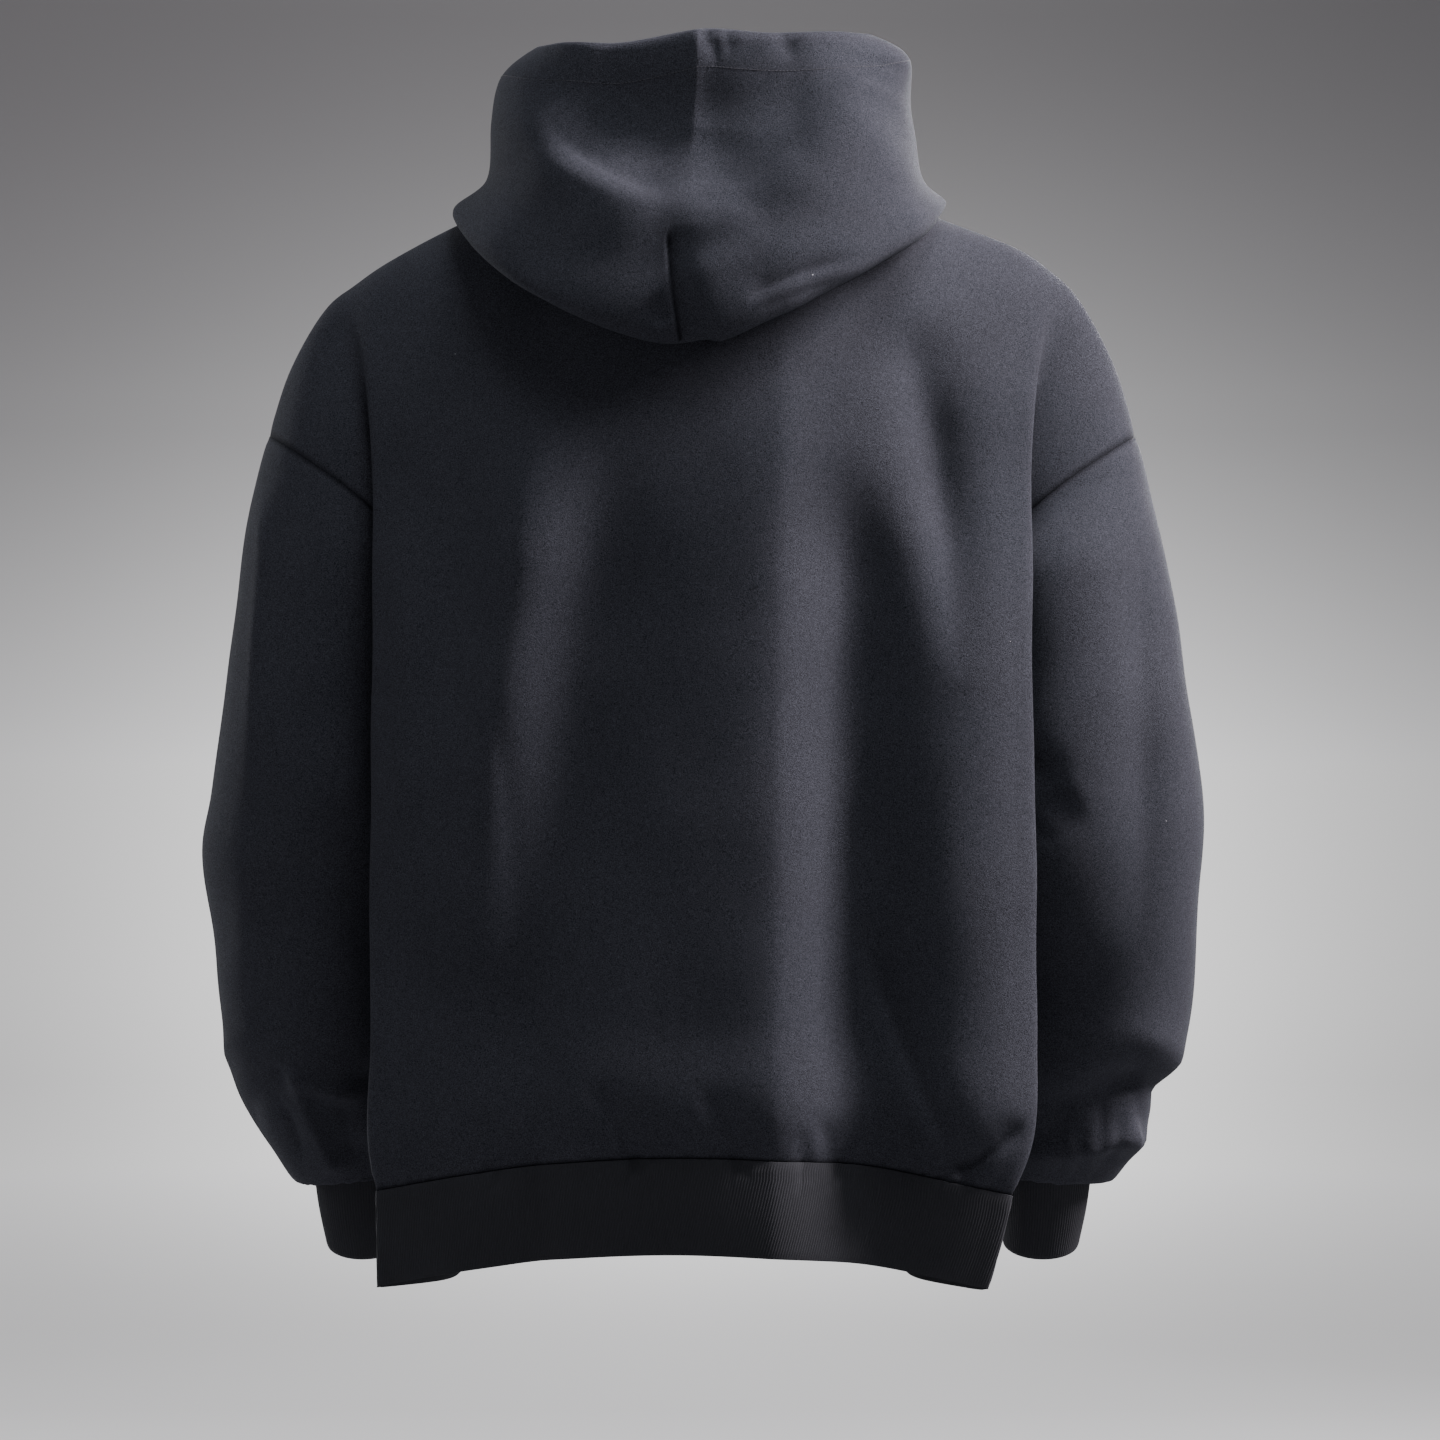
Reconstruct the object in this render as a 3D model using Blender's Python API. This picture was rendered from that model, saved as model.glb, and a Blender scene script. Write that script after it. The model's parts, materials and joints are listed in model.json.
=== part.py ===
"""A hooded zip-up sweatshirt in heavy brushed fleece, in the hollow form that it keeps when it is worn.

Metres, +Z up. The front faces -Y and the wearer's left is +X. The origin is the middle of the base of the
neck, where the wearer's shoulders carry the garment. The tables and the dictionaries hold millimetres.
"""

import math

import bmesh
import bpy
import numpy as np
from mathutils import Matrix, Vector

MM = 0.001

# Cloth and seams
FLEECE = 2.6  # one layer of brushed fleece
RIB = 3.6  # rib knit folded double
CASING = 5.0  # the hood's edge, turned in and stitched down
CASING_DEPTH = 30
SEAM = 0.3  # gap between pieces that are sewn edge to edge
NECK_SEAM = 0.6  # how far the hood stands off from the edge of its steep seam
CLEAR = 0.35  # gap between pieces that lie on each other
SAME_PLACE = 0.02  # points nearer than this are one point of a seam

# Front opening and its zip
OPENING = 5.5  # half the width between the edges of the two fronts
TAPE = {"inner_edge": 1.0, "outer_edge": 17, "thickness": 0.9}
CHAIN = {"half_width": 2.8, "thickness": 2.0}
TOP_STOP = {"width": 1.9, "length": 3.0, "thickness": 1.8, "from_top": 2.5}
BOX = {"half_width": 3.8, "length": 9.0, "thickness": 3.0}
SLIDER = {
    "half_width": 4.7, "half_length": 6.5, "plate": 1.4, "from_top": 11.5,
    "post": 0.7, "post_length": 2.2, "post_inset": 0.5,
    "bail_half_width": 1.4, "bail_half_length": 2.2, "bail_bar": 0.9,
    "hole_half_length": 1.2, "hole_height": 2.5,
}
PULL = {"bar": 1.2, "eye_half_width": 1.9, "arm": 1.3, "eye_end": 3.9, "length": 26, "end_half_width": 3.9}
METAL_EDGE = 0.22  # bevel on the edges of the slider and the pull tab

# Neck and shoulder seam, from the middle of the back over the shoulder, each with the law by which the cloth
# below it turns down: where the turn starts, and how full it is (0.5 is round, 0.9 is nearly a slope).
# The wearer's right shoulder stands higher than this by the lean, and the left one lower.
TOP_COLUMNS = ("x", "y_back", "z_back", "y_front", "z_front", "start", "fullness", "lean")
TOP_SEAM = {
    "centre": (0, 78, -10, -86, -78, 2.0, 0.9, 0),
    "neck": (64, 61, -6, -62, -44, 2.2, 0.75, 0),
    "neck point": (100, 8, 0, 8, 0, 2.5, 0.55, 0),
    "inner shoulder": (133, 8, -10, 8, -10, 2.6, 0.5, 0.7),
    "shoulder": (167, 8, -23, 8, -23, 2.6, 0.5, 1.5),
    "outer shoulder": (215, 7, -45, 7, -45, 2.6, 0.5, 5),
    "fold": (234, 6, -58, 6, -58, 2.6, 0.5, 5),
    "turn": (252, 5, -73, 5, -73, 2.6, 0.5, 3.5),
}
# Where the first of those stations stand on a level ring, as shares of its width at the fold
SHARES = {
    "centre": 0.0, "neck": 0.28, "neck point": 0.48, "inner shoulder": 0.61, "shoulder": 0.75,
    "outer shoulder": 0.93,
}
COLUMN_STEPS = (2, 2, 1, 1, 1, 1, 1, 1, 1)  # columns of faces between one station and the next
NECK_COLUMNS = 4  # how many of them end on the neckline

# Level rings of the body. The cloth folds sharply behind and in front of each arm, and runs in to the side.
RING_COLUMNS = (
    "z_back", "z_side", "z_front", "back", "fold_x", "fold_y",
    "side_x", "side_y", "front_fold_x", "front_fold_y", "front", "sway",
)
BODY_RINGS = {
    "underarm": (-287, -293, -290, 124, 216, 66, 161, -5, 180, -98, -150, 0),
    "ribs": (-370, -376, -373, 126, 217, 67, 156, -6, 178, -98, -152, 0),
    "waist": (-460, -468, -463, 126, 218, 68, 155, -8, 178, -98, -152, 0),
    "hip": (-550, -564, -554, 124, 218, 69, 157, -8, 180, -98, -151, 0),
    "blouse": (-612, -634, -622, 125, 217, 70, 161, -8, 183, -98, -151, 2),
    "hem seam": (-639, -667, -652, 117, 209, 65, 158, -8, 177, -93, -144, 6),
}
BAND_RINGS = {
    "hem seam": (-639, -667, -652, 117, 209, 65, 158, -8, 177, -93, -144, 6),
    "band middle": (-670, -698, -685, 117, 205, 65, 156, -8, 175, -92, -143, 9),
    "band edge": (-701, -729, -718, 115, 201, 64, 154, -8, 172, -91, -141, 13),
}
BACK_TURN = {"turn": (-13, -8), "hollow": (-10, 5)}  # the way in from the fold behind the arm
FRONT_TURN = {"turn": (-3, 16), "hollow": (-5, 0)}
BODY_ROWS = 7
BAND_ROWS = 2

# Armhole loop, from the tip of the shoulder seam to the underarm
ARMHOLE = {
    "tip_x": 293, "tip_z": -164, "under_x": 161, "slope": 0.63, "drop": 46,
    "y": -3, "back": 58, "front": 80,
}
ARMHOLE_ROWS = 10
ROW_CROWDING = 1.6  # above 1, the rows crowd towards the shoulder seam

# Rings round a sleeve, as its reach to the outer and inner side, and from y to the back and front
SLEEVE_COLUMNS = ("x_left", "x_right", "x_in", "z_out", "z_in", "y", "back", "front")
SLEEVE_RINGS = {
    "upper arm": (310, 311, 176, -234, -322, -8, 66, 82),
    "above elbow": (326, 331, 177, -345, -385, -14, 74, 86),
    "elbow": (334, 342, 177, -405, -432, -20, 75, 85),
    "low elbow": (342, 343, 177, -444, -468, -25, 75, 84),
    "below elbow": (334, 338, 178, -520, -530, -40, 72, 82),
    "forearm": (328, 331, 180, -576, -578, -54, 69, 78),
    "blouse": (320, 315, 184, -614, -611, -64, 62, 70),
    "blouse low": (299, 299, 193, -652, -646, -74, 49, 54),
    "turn": (281, 283, 203, -677, -672, -80, 37, 39),
    "cuff seam": (270, 270, 208.5, -665, -662, -77, 30, 31),
}
CUFF_RINGS = {
    "cuff seam": (270, 270, 208.5, -665, -662, -77, 30, 31),
    "cuff middle": (267, 267, 210, -694, -693, -86, 28, 29),
    "cuff edge": (262, 262, 210, -722, -722, -95, 26, 27),
}
CUFF_TILT = 8  # the cuff's edge hangs this much lower at the back
SLEEVE_STEPS = (2, 2, 1, 1, 2, 1, 1, 1, 1, 1)
CUFF_STEPS = (1, 1)

# The hood lies thrown back. Each row is its profile at one angle round the neck, 0 in front and 180 behind:
# up from the neck seam, outwards and down to a fold, and up again over a ridge and a basin to the open rim.
HOOD_COLUMNS = (
    "angle", "stand_r", "stand_z", "fold_r", "fold_z", "notch_r", "notch_z",
    "ridge_r", "ridge_z", "basin_r", "basin_z", "rim_r", "rim_z",
)
HOOD_PROFILES = (
    (4, 90, -65, 92, -57, 94, -51, 97, -44, 99, -37, 101, -29),
    (35, 98, -34, 106, -26, 110, -18, 114, -9, 117, 2, 119, 14),
    (65, 104, 8, 136, -12, 131, 4, 130, 26, 131, 42, 129, 57),
    (95, 109, 22, 156, -17, 146, 6, 142, 40, 138, 66, 128, 92),
    (125, 100, 24, 157, -57, 155, -16, 147, 32, 133, 64, 124, 92),
    (150, 90, 22, 144, -93, 152, -52, 142, -12, 112, 34, 104, 89),
    (180, 83, 18, 126, -114, 141, -70, 131, -22, 94, 22, 88, 95),
)
HOOD_Y = 5  # the profiles stand round the line at this y
HOOD_ROLL = (11, -4)  # from the top of the stand to where the cloth rolls over
HOOD_FOLD = {"inner": (-11, 12), "outer": (9, 6)}  # the cloth on both sides of the fold
HOOD_LEAN = {"fold_z": 2, "notch_r": 3, "rim_z": 3.5}  # the right side has more by this, and the left less
HOOD_SWING = 16  # the lowest point of the fold hangs this far to the wearer's left
HOOD_STEPS = (1, 2, 2, 1, 1, 2, 2, 2, 2)  # rows of faces between one point of the profile and the next

BLACK_FLEECE = (0.018, 0.020, 0.026)
BLACK_RIB = (0.014, 0.015, 0.018)
BLACK_TAPE = (0.012, 0.012, 0.014)
BLACK_TEETH = (0.015, 0.015, 0.017)
GUNMETAL = (0.10, 0.10, 0.11)


def clear_scene():
    for thing in list(bpy.data.objects):
        bpy.data.objects.remove(thing)


def material(name, colour, roughness, metallic=0.0):
    made = bpy.data.materials.new(name)
    made.use_nodes = True
    surface = made.node_tree.nodes["Principled BSDF"]
    surface.inputs["Base Color"].default_value = (*colour, 1)
    surface.inputs["Roughness"].default_value = roughness
    surface.inputs["Metallic"].default_value = metallic
    return made


# Curves -------------------------------------------------------------------------------------------


def mix(a, b, share):
    return a + (b - a) * share


def point(*coordinates):
    return np.array(coordinates, float)


def unit(vectors):
    return vectors / np.linalg.norm(vectors, axis=-1, keepdims=True)


def spline(points, steps, before=None, after=None):
    """A centripetal Catmull-Rom curve through the points, with so many steps between one and the next."""
    before = 2 * points[0] - points[1] if before is None else before
    after = 2 * points[-1] - points[-2] if after is None else after
    full = [before, *points, after]
    knots = [0.0]
    for a, b in zip(full, full[1:]):
        knots.append(knots[-1] + np.linalg.norm(b - a) ** 0.5)
    found = [points[0]]
    for i, count in enumerate(steps):
        p0, p1, p2, p3 = full[i:i + 4]
        k0, k1, k2, k3 = knots[i:i + 4]
        for step in range(1, count + 1):
            t = mix(k1, k2, step / count)
            a1 = mix(p0, p1, (t - k0) / (k1 - k0))
            a2 = mix(p1, p2, (t - k1) / (k2 - k1))
            a3 = mix(p2, p3, (t - k2) / (k3 - k2))
            b1 = mix(a1, a2, (t - k0) / (k2 - k0))
            b2 = mix(a2, a3, (t - k1) / (k3 - k1))
            found.append(mix(b1, b2, (t - k1) / (k2 - k1)))
    return found


def read_smoothly(rows, keys, key):
    """The row of a table at any key, on a smooth curve through its rows."""
    slopes = np.gradient(rows, keys, axis=0)
    i = int(np.clip(np.searchsorted(keys, key) - 1, 0, len(keys) - 2))
    span = keys[i + 1] - keys[i]
    t = (key - keys[i]) / span
    return (
        (2 * t**3 - 3 * t**2 + 1) * rows[i]
        + (t**3 - 2 * t**2 + t) * span * slopes[i]
        + (3 * t**2 - 2 * t**3) * rows[i + 1]
        + (t**3 - t**2) * span * slopes[i + 1]
    )


# Body ---------------------------------------------------------------------------------------------


def ring_stations(row, front):
    """Points of one half of a level ring, from the centre to the side."""
    ring = dict(zip(RING_COLUMNS, row))
    side = point(ring["side_x"], ring["side_y"], ring["z_side"])
    if front:
        z, depth, fold_x, fold_y = ring["z_front"], ring["front"], ring["front_fold_x"], ring["front_fold_y"]
        way_in = FRONT_TURN
    else:
        z, depth, fold_x, fold_y = ring["z_back"], ring["back"], ring["fold_x"], ring["fold_y"]
        way_in = BACK_TURN
    stations = []
    for share in SHARES.values():
        y = mix(depth, fold_y, share**2.4)
        stations.append(point(fold_x * share, y, mix(z, ring["z_side"], share**2)))
    fold = point(fold_x, fold_y, ring["z_side"])
    turn = fold + point(*way_in["turn"], 0)
    hollow = mix(turn, side, 0.5) + point(*way_in["hollow"], 0)
    return [*stations, fold, turn, hollow, side]


def armhole(angle, front):
    """A point of the armhole, 0 at the tip of the shoulder seam and 180 at the underarm."""
    turn = math.radians(angle)
    drop = (1 - math.cos(turn)) / 2
    x = mix(ARMHOLE["tip_x"], ARMHOLE["under_x"], drop)
    reach = -ARMHOLE["front"] if front else ARMHOLE["back"]
    z = ARMHOLE["tip_z"] - ARMHOLE["slope"] * (ARMHOLE["tip_x"] - x) - ARMHOLE["drop"] * drop**4
    return point(x, ARMHOLE["y"] + reach * math.sin(turn), z)


def upper_stations(low, angle, front, side):
    """Points of a row of the upper body, which ends on the armhole at that angle."""
    rise = 1 - (angle / 180) ** ROW_CROWDING
    stations = []
    for row, below in zip(TOP_SEAM.values(), low):
        top = dict(zip(TOP_COLUMNS, row))
        y, z = (top["y_front"], top["z_front"]) if front else (top["y_back"], top["z_back"])
        z -= side * top["lean"]
        hang = (1 - rise ** top["start"]) ** top["fullness"]
        x = mix(below[0], top["x"], rise**3)
        stations.append(point(x, mix(y, below[1], hang), mix(below[2], z, rise)))
    edge = armhole(angle, front)
    way_in = FRONT_TURN if front else BACK_TURN
    offset = mix(point(*way_in["hollow"], 0), point(5, 0, 2), rise)
    return [*stations, mix(stations[-1], edge, 0.5) + offset, edge]


def row_points(stations, opposite, front):
    """One row of a body panel's half, from its centre to its outer edge."""
    row = spline(stations, COLUMN_STEPS, before=stations[1] * (-1, 1, 1), after=opposite)
    if front:
        row[0] = mix(row[0], row[1], OPENING / row[1][0])
    return row


def ring_rows(rings, count, front):
    """Rows of one half of a set of rings, and how far each row sways to the wearer's left."""
    table = np.array(list(rings.values()), float)
    keys = -table[:, RING_COLUMNS.index("z_side")]
    rows = []
    sways = []
    for key in np.linspace(keys[0], keys[-1], count + 1):
        ring = read_smoothly(table, keys, key)
        beyond = ring_stations(ring, not front)[-2]
        rows.append(row_points(ring_stations(ring, front), beyond, front))
        sways.append(ring[-1])
    return rows, sways


def body_half(front, side):
    """Half of the back, or one front, down to the hem seam. The side is 1 for the wearer's left, or -1."""
    low = ring_stations(np.array(BODY_RINGS["underarm"], float), front)
    rows = []
    for step in range(ARMHOLE_ROWS):
        stations = upper_stations(low, 180 * step / ARMHOLE_ROWS, front, side)
        rows.append(row_points(stations, None, front))
    level_rows, sways = ring_rows(BODY_RINGS, BODY_ROWS, front)
    return placed(rows + level_rows, [0.0] * ARMHOLE_ROWS + sways, side)


def band_half(front, side):
    return placed(*ring_rows(BAND_RINGS, BAND_ROWS, front), side)


def placed(rows, sways, side):
    """Rows of a left half put on their side of the body, and moved aside by their sway."""
    sway = np.zeros((len(sways), 1, 3))
    sway[:, 0, 0] = sways
    return np.array(rows) * (side, 1, 1) + sway


# Walls of cloth -----------------------------------------------------------------------------------


def slope_along(points, axis, around):
    """The direction of the lines of points along an axis, which close on themselves where they go around."""
    if around:
        return np.roll(points, -1, axis=axis) - np.roll(points, 1, axis=axis)
    return np.gradient(points, axis=axis)


class Panel:
    """A cut piece of cloth: a grid of points on its outer face, with the outward direction at each."""

    def __init__(self, name, grid, outward, thickness, look, around=False):
        self.name, self.grid, self.look, self.around = name, np.array(grid, float), look, around
        self.thickness = np.broadcast_to(thickness, self.grid.shape[:1])
        across = slope_along(self.grid, 1, around)
        self.normals = outward * unit(np.cross(np.gradient(self.grid, axis=0), across))

    def edges(self):
        """Each edge with the line of points beside it, as pairs of slices."""
        everything = slice(None)
        pairs = [((0, everything), (1, everything)), ((-1, everything), (-2, everything))]
        if not self.around:
            pairs += [((everything, 0), (everything, 1)), ((everything, -1), (everything, -2))]
        return pairs

    def edge_spots(self):
        down, along = self.grid.shape[:2]
        for i in range(down):
            for j in range(along):
                if i in (0, down - 1) or (j in (0, along - 1) and not self.around):
                    yield i, j

    def draw_in(self, distance):
        """Moves the edges back along the cloth."""
        moves = np.zeros_like(self.grid)
        for edge, beside in self.edges():
            line = self.grid[edge]
            along = slope_along(line, 0, self.around)
            away = unit(np.cross(self.normals[edge], along))
            inward = np.sign((away * (self.grid[beside] - line)).sum(axis=1, keepdims=True))
            moves[edge] += away * inward * distance
        self.grid += moves

    def inner_face(self, depth=0.0):
        """The points on the cloth's inner face, or that far behind it."""
        return self.grid - self.normals * (self.thickness[:, None, None] + depth)


def share_seams(panels):
    """Gives the cloth on both sides of a seam one direction for its thickness, so that the edges match."""
    spots = [(panel, spot) for panel in panels for spot in panel.edge_spots()]
    places = np.array([panel.grid[spot] for panel, spot in spots])
    normals = np.array([panel.normals[spot] for panel, spot in spots])
    for place, (panel, spot) in zip(places, spots):
        together = np.linalg.norm(places - place, axis=1) < SAME_PLACE
        panel.normals[spot] = unit(normals[together].sum(axis=0))


def closed_wall(name, outer, inner, look, around=False):
    """A solid between two grids of points, with an edge all round."""
    shape = bmesh.new()
    faces = [[[shape.verts.new(p * MM) for p in row] for row in grid] for grid in (outer, inner)]
    down, along = outer.shape[:2]
    lines = [(faces[0][i], faces[1][i]) for i in (0, down - 1)]
    if not around:
        lines += [([row[j] for row in faces[0]], [row[j] for row in faces[1]]) for j in (0, along - 1)]
    lines += [(grid[i], grid[i + 1]) for grid in faces for i in range(down - 1)]
    for first, second in lines:
        closing = around and len(first) == along
        for j in range(len(first) if closing else len(first) - 1):
            k = (j + 1) % len(first)
            shape.faces.new((first[j], second[j], second[k], first[k]))
    bmesh.ops.recalc_face_normals(shape, faces=shape.faces[:])
    return finished(name, shape, look)


def finished(name, shape, look):
    mesh = bpy.data.meshes.new(name)
    shape.to_mesh(mesh)
    shape.free()
    mesh.shade_smooth()
    mesh.set_sharp_from_angle(angle=math.radians(50))
    mesh.materials.append(look)
    thing = bpy.data.objects.new(name, mesh)
    bpy.context.scene.collection.objects.link(thing)
    return thing


# Pieces of cloth ----------------------------------------------------------------------------------


def body_panels(look):
    back = np.concatenate([body_half(False, -1)[:, :0:-1], body_half(False, 1)], axis=1)
    return [
        Panel("back", back, -1, FLEECE, look),
        Panel("front_left", body_half(True, 1), 1, FLEECE, look),
        Panel("front_right", body_half(True, -1), -1, FLEECE, look),
    ]


def hem_band(look):
    quarters = [band_half(True, -1), band_half(False, -1)[:, -2::-1]]
    quarters += [band_half(False, 1)[:, 1:], band_half(True, 1)[:, -2::-1]]
    return Panel("hem_band", np.concatenate(quarters, axis=1), -1, RIB, look)


def sleeve_rings(rings, tilt, side):
    """Rings round an arm, with their points at the angles where the armhole has its own."""
    found = []
    for i, row in enumerate(rings.values()):
        ring = dict(zip(SLEEVE_COLUMNS, row))
        drop = tilt * i / (len(rings) - 1)
        points = []
        for step in range(2 * ARMHOLE_ROWS):
            turn = math.pi * step / ARMHOLE_ROWS
            inward = (1 - math.cos(turn)) / 2
            behind = math.sin(turn)
            reach = ring["back"] if behind > 0 else ring["front"]
            x = mix(ring["x_left"] if side > 0 else ring["x_right"], ring["x_in"], inward)
            z = mix(ring["z_out"], ring["z_in"], inward)
            points.append(point(x, ring["y"] + reach * behind, z - drop * behind))
        found.append(points)
    return found


def loft(rings, steps):
    """A grid through rings of points, smooth from one ring to the next."""
    return np.swapaxes([spline(line, steps) for line in zip(*rings)], 0, 1)


def arm_panels(look, rib):
    top = [armhole(180 * step / ARMHOLE_ROWS, front=False) for step in range(ARMHOLE_ROWS + 1)]
    top += [armhole(180 * step / ARMHOLE_ROWS, front=True) for step in range(ARMHOLE_ROWS - 1, 0, -1)]
    panels = []
    for side, name in ((1, "left"), (-1, "right")):
        sleeve = loft([top, *sleeve_rings(SLEEVE_RINGS, 0, side)], SLEEVE_STEPS)
        cuff = loft(sleeve_rings(CUFF_RINGS, CUFF_TILT, side), CUFF_STEPS)
        flip = (side, 1, 1)
        panels.append(Panel(f"sleeve_{name}", sleeve * flip, side, FLEECE, look, around=True))
        panels.append(Panel(f"cuff_{name}", cuff * flip, side, RIB, rib, around=True))
    return panels


def hood_profile(angle, seam, side):
    """Points (r, z) of the hood's profile at an angle, from the neck seam to the rim."""
    table = np.array(HOOD_PROFILES, float)
    at = dict(zip(HOOD_COLUMNS, read_smoothly(table, table[:, 0], angle)))
    for column, lean in HOOD_LEAN.items():
        at[column] -= lean * side * min(1.0, 1.8 * math.sin(math.radians(angle)))
    fullness = float(np.clip((angle - 25) / 50, 0.08, 1))  # the fold fades out towards the front
    stand = point(at["stand_r"], at["stand_z"])
    fold = point(at["fold_r"], at["fold_z"])
    return [
        seam,
        stand,
        stand + point(*HOOD_ROLL) * fullness,
        fold + point(*HOOD_FOLD["inner"]) * fullness * 0.9,
        fold,
        fold + point(*HOOD_FOLD["outer"]) * fullness,
        point(at["notch_r"], at["notch_z"]),
        point(at["ridge_r"], at["ridge_z"]),
        point(at["basin_r"], at["basin_z"]),
        point(at["rim_r"], at["rim_z"]),
    ]


def neckline(back, front_left, front_right):
    """The points of the neck seam, from the left front round the back to the right front."""
    middle = back.grid.shape[1] // 2
    behind = back.grid[0, middle - NECK_COLUMNS + 1:middle + NECK_COLUMNS]
    left = front_left.grid[0, :NECK_COLUMNS + 1]
    right = front_right.grid[0, :NECK_COLUMNS + 1]
    points = np.concatenate([left, behind[::-1], right[::-1]])
    between = (points[:-1] + points[1:]) / 2
    full = np.empty((len(points) + len(between), 3))
    full[::2], full[1::2] = points, between
    return full


def hood_panel(seam, look):
    columns = []
    for place in seam:
        side = 1 if place[0] > 0 else -1
        angle = math.degrees(math.atan2(abs(place[0]), HOOD_Y - place[1]))
        radius = math.hypot(place[0], place[1] - HOOD_Y)
        profile = spline(hood_profile(angle, point(radius, place[2]), side), HOOD_STEPS)
        turn = math.radians(angle)
        column = []
        for i, (r, z) in enumerate(profile):
            from_fold = i / (len(profile) - 1) - 0.45
            swing = HOOD_SWING * max(0.0, -math.cos(turn)) ** 1.5 * math.exp(-((from_fold / 0.2) ** 2))
            column.append(point(side * r * math.sin(turn) + swing, HOOD_Y - r * math.cos(turn), z))
        column[0] = place
        columns.append(column)
    grid = np.swapaxes(columns, 0, 1)
    steps = np.linalg.norm(np.diff(grid, axis=0), axis=2).mean(axis=1)
    from_rim = steps.sum() - np.concatenate([[0], np.cumsum(steps)])
    return Panel("hood", grid, -1, np.where(from_rim < CASING_DEPTH, CASING, FLEECE), look)


def straighten_hood_seam(hood):
    """Puts the hood's points between the neckline's on the straight edge between their neighbours."""
    for field in (hood.grid, hood.normals):
        field[0, 1::2] = (field[0, :-1:2] + field[0, 2::2]) / 2


# Zip ----------------------------------------------------------------------------------------------


def tape_grid(front, band_edge, band_beside):
    """A zip tape behind the edge of a front and of the hem band, as the points of its front face."""
    hidden = front.inner_face(CLEAR)[1:-1]
    edges = np.concatenate([hidden[:, 0], band_edge])
    beside = np.concatenate([hidden[:, 1], band_beside])
    direction = (beside - edges) / np.abs(beside[:, :1] - edges[:, :1])
    inner = edges + direction * (TAPE["inner_edge"] - OPENING)
    outer = edges + direction * (TAPE["outer_edge"] - OPENING)
    return np.stack([inner, outer], axis=1)


def stretch_of(line, start, end):
    """The part of a line of points between two lengths along it. A negative end counts from the far end."""
    lengths = np.concatenate([[0], np.cumsum(np.linalg.norm(np.diff(line, axis=0), axis=1))])
    end = lengths[-1] + end if end < 0 else end
    inside = [length for length in lengths if start + 1 < length < end - 1]
    wanted = [start, *inside, end]
    return np.stack([np.interp(wanted, lengths, line[:, k]) for k in range(3)], axis=1)


def block(name, look, size, centre, place):
    """A box of a size (across, along, out) round a centre, in the axes of a place on the zip."""
    shape = bmesh.new()
    matrix = Matrix.Translation(Vector(centre) * MM) @ Matrix.Diagonal((*(Vector(size) * MM), 1))
    bmesh.ops.create_cube(shape, size=1, matrix=place @ matrix)
    return finished(name, shape, look)


def combine(base, other, operation):
    """Joins another solid to the base, or cuts it out, and keeps it as a guide that isn't built."""
    other.hide_render = True
    other.display_type = "WIRE"
    step = base.modifiers.new(f"{operation.lower()} {other.name}", "BOOLEAN")
    step.operation = operation
    step.object = other


def soften(thing):
    edge = thing.modifiers.new("edge", "BEVEL")
    edge.width = METAL_EDGE * MM
    edge.segments = 1
    edge.limit_method = "ANGLE"


def place_on_zip(middle, length, lift):
    """The axes at a length down the zip: across, up along it and out of it, raised from its front face."""
    spot = stretch_of(middle, length - 4, length + 4)
    up = Vector(spot[0] - spot[-1]).normalized()
    out = up.cross(Vector((-1, 0, 0))).normalized()
    across = up.cross(out)
    centre = (Vector(spot[0] + spot[-1]) / 2 + out * lift) * MM
    place = Matrix((across, up, out)).transposed().to_4x4()
    place.translation = centre
    return place


def build_tapes(front_left, front_right, band, look):
    """Both zip tapes. Gives the line down the middle of the zip, on their front face."""
    band_inner = band.inner_face(CLEAR)
    left = tape_grid(front_left, band_inner[:, -1], band_inner[:, -2])
    right = tape_grid(front_right, band_inner[:, 0], band_inner[:, 1])
    thickness = point(0, TAPE["thickness"], 0)
    closed_wall("zip_tape_left", left, left + thickness, look)
    closed_wall("zip_tape_right", right, right + thickness, look)
    return (left[:, 0] + right[:, 0]) / 2


def bar_on_tapes(name, line, half_width, thickness, look):
    """A flat bar that lies on both tapes along a line."""
    half = point(half_width, 0, 0)
    back = line - point(0, CLEAR, 0)
    face = back - point(0, thickness, 0)
    closed_wall(name, np.stack([face - half, face + half], 1), np.stack([back - half, back + half], 1), look)


def build_chain(middle, teeth, metal):
    """The closed row of teeth, as one bar, from inside the slider down to the retainer box at the hem."""
    start = SLIDER["from_top"] - SLIDER["half_length"] + SLIDER["post_inset"] + SLIDER["post_length"] + CLEAR
    line = stretch_of(middle, start, -(BOX["length"] + CLEAR))
    bar_on_tapes("zip_chain", line, CHAIN["half_width"], CHAIN["thickness"], teeth)
    line = stretch_of(middle[::-1], 0, BOX["length"])
    bar_on_tapes("zip_box", line, BOX["half_width"], BOX["thickness"], metal)


def build_top_stops(middle, metal):
    place = place_on_zip(middle, TOP_STOP["from_top"], CLEAR + TOP_STOP["thickness"] / 2)
    size = (TOP_STOP["width"], TOP_STOP["length"], TOP_STOP["thickness"])
    for side, name in ((1, "left"), (-1, "right")):
        centre = (side * (TAPE["inner_edge"] + TOP_STOP["width"] / 2), 0, 0)
        soften(block(f"zip_top_stop_{name}", metal, size, centre, place))


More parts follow.
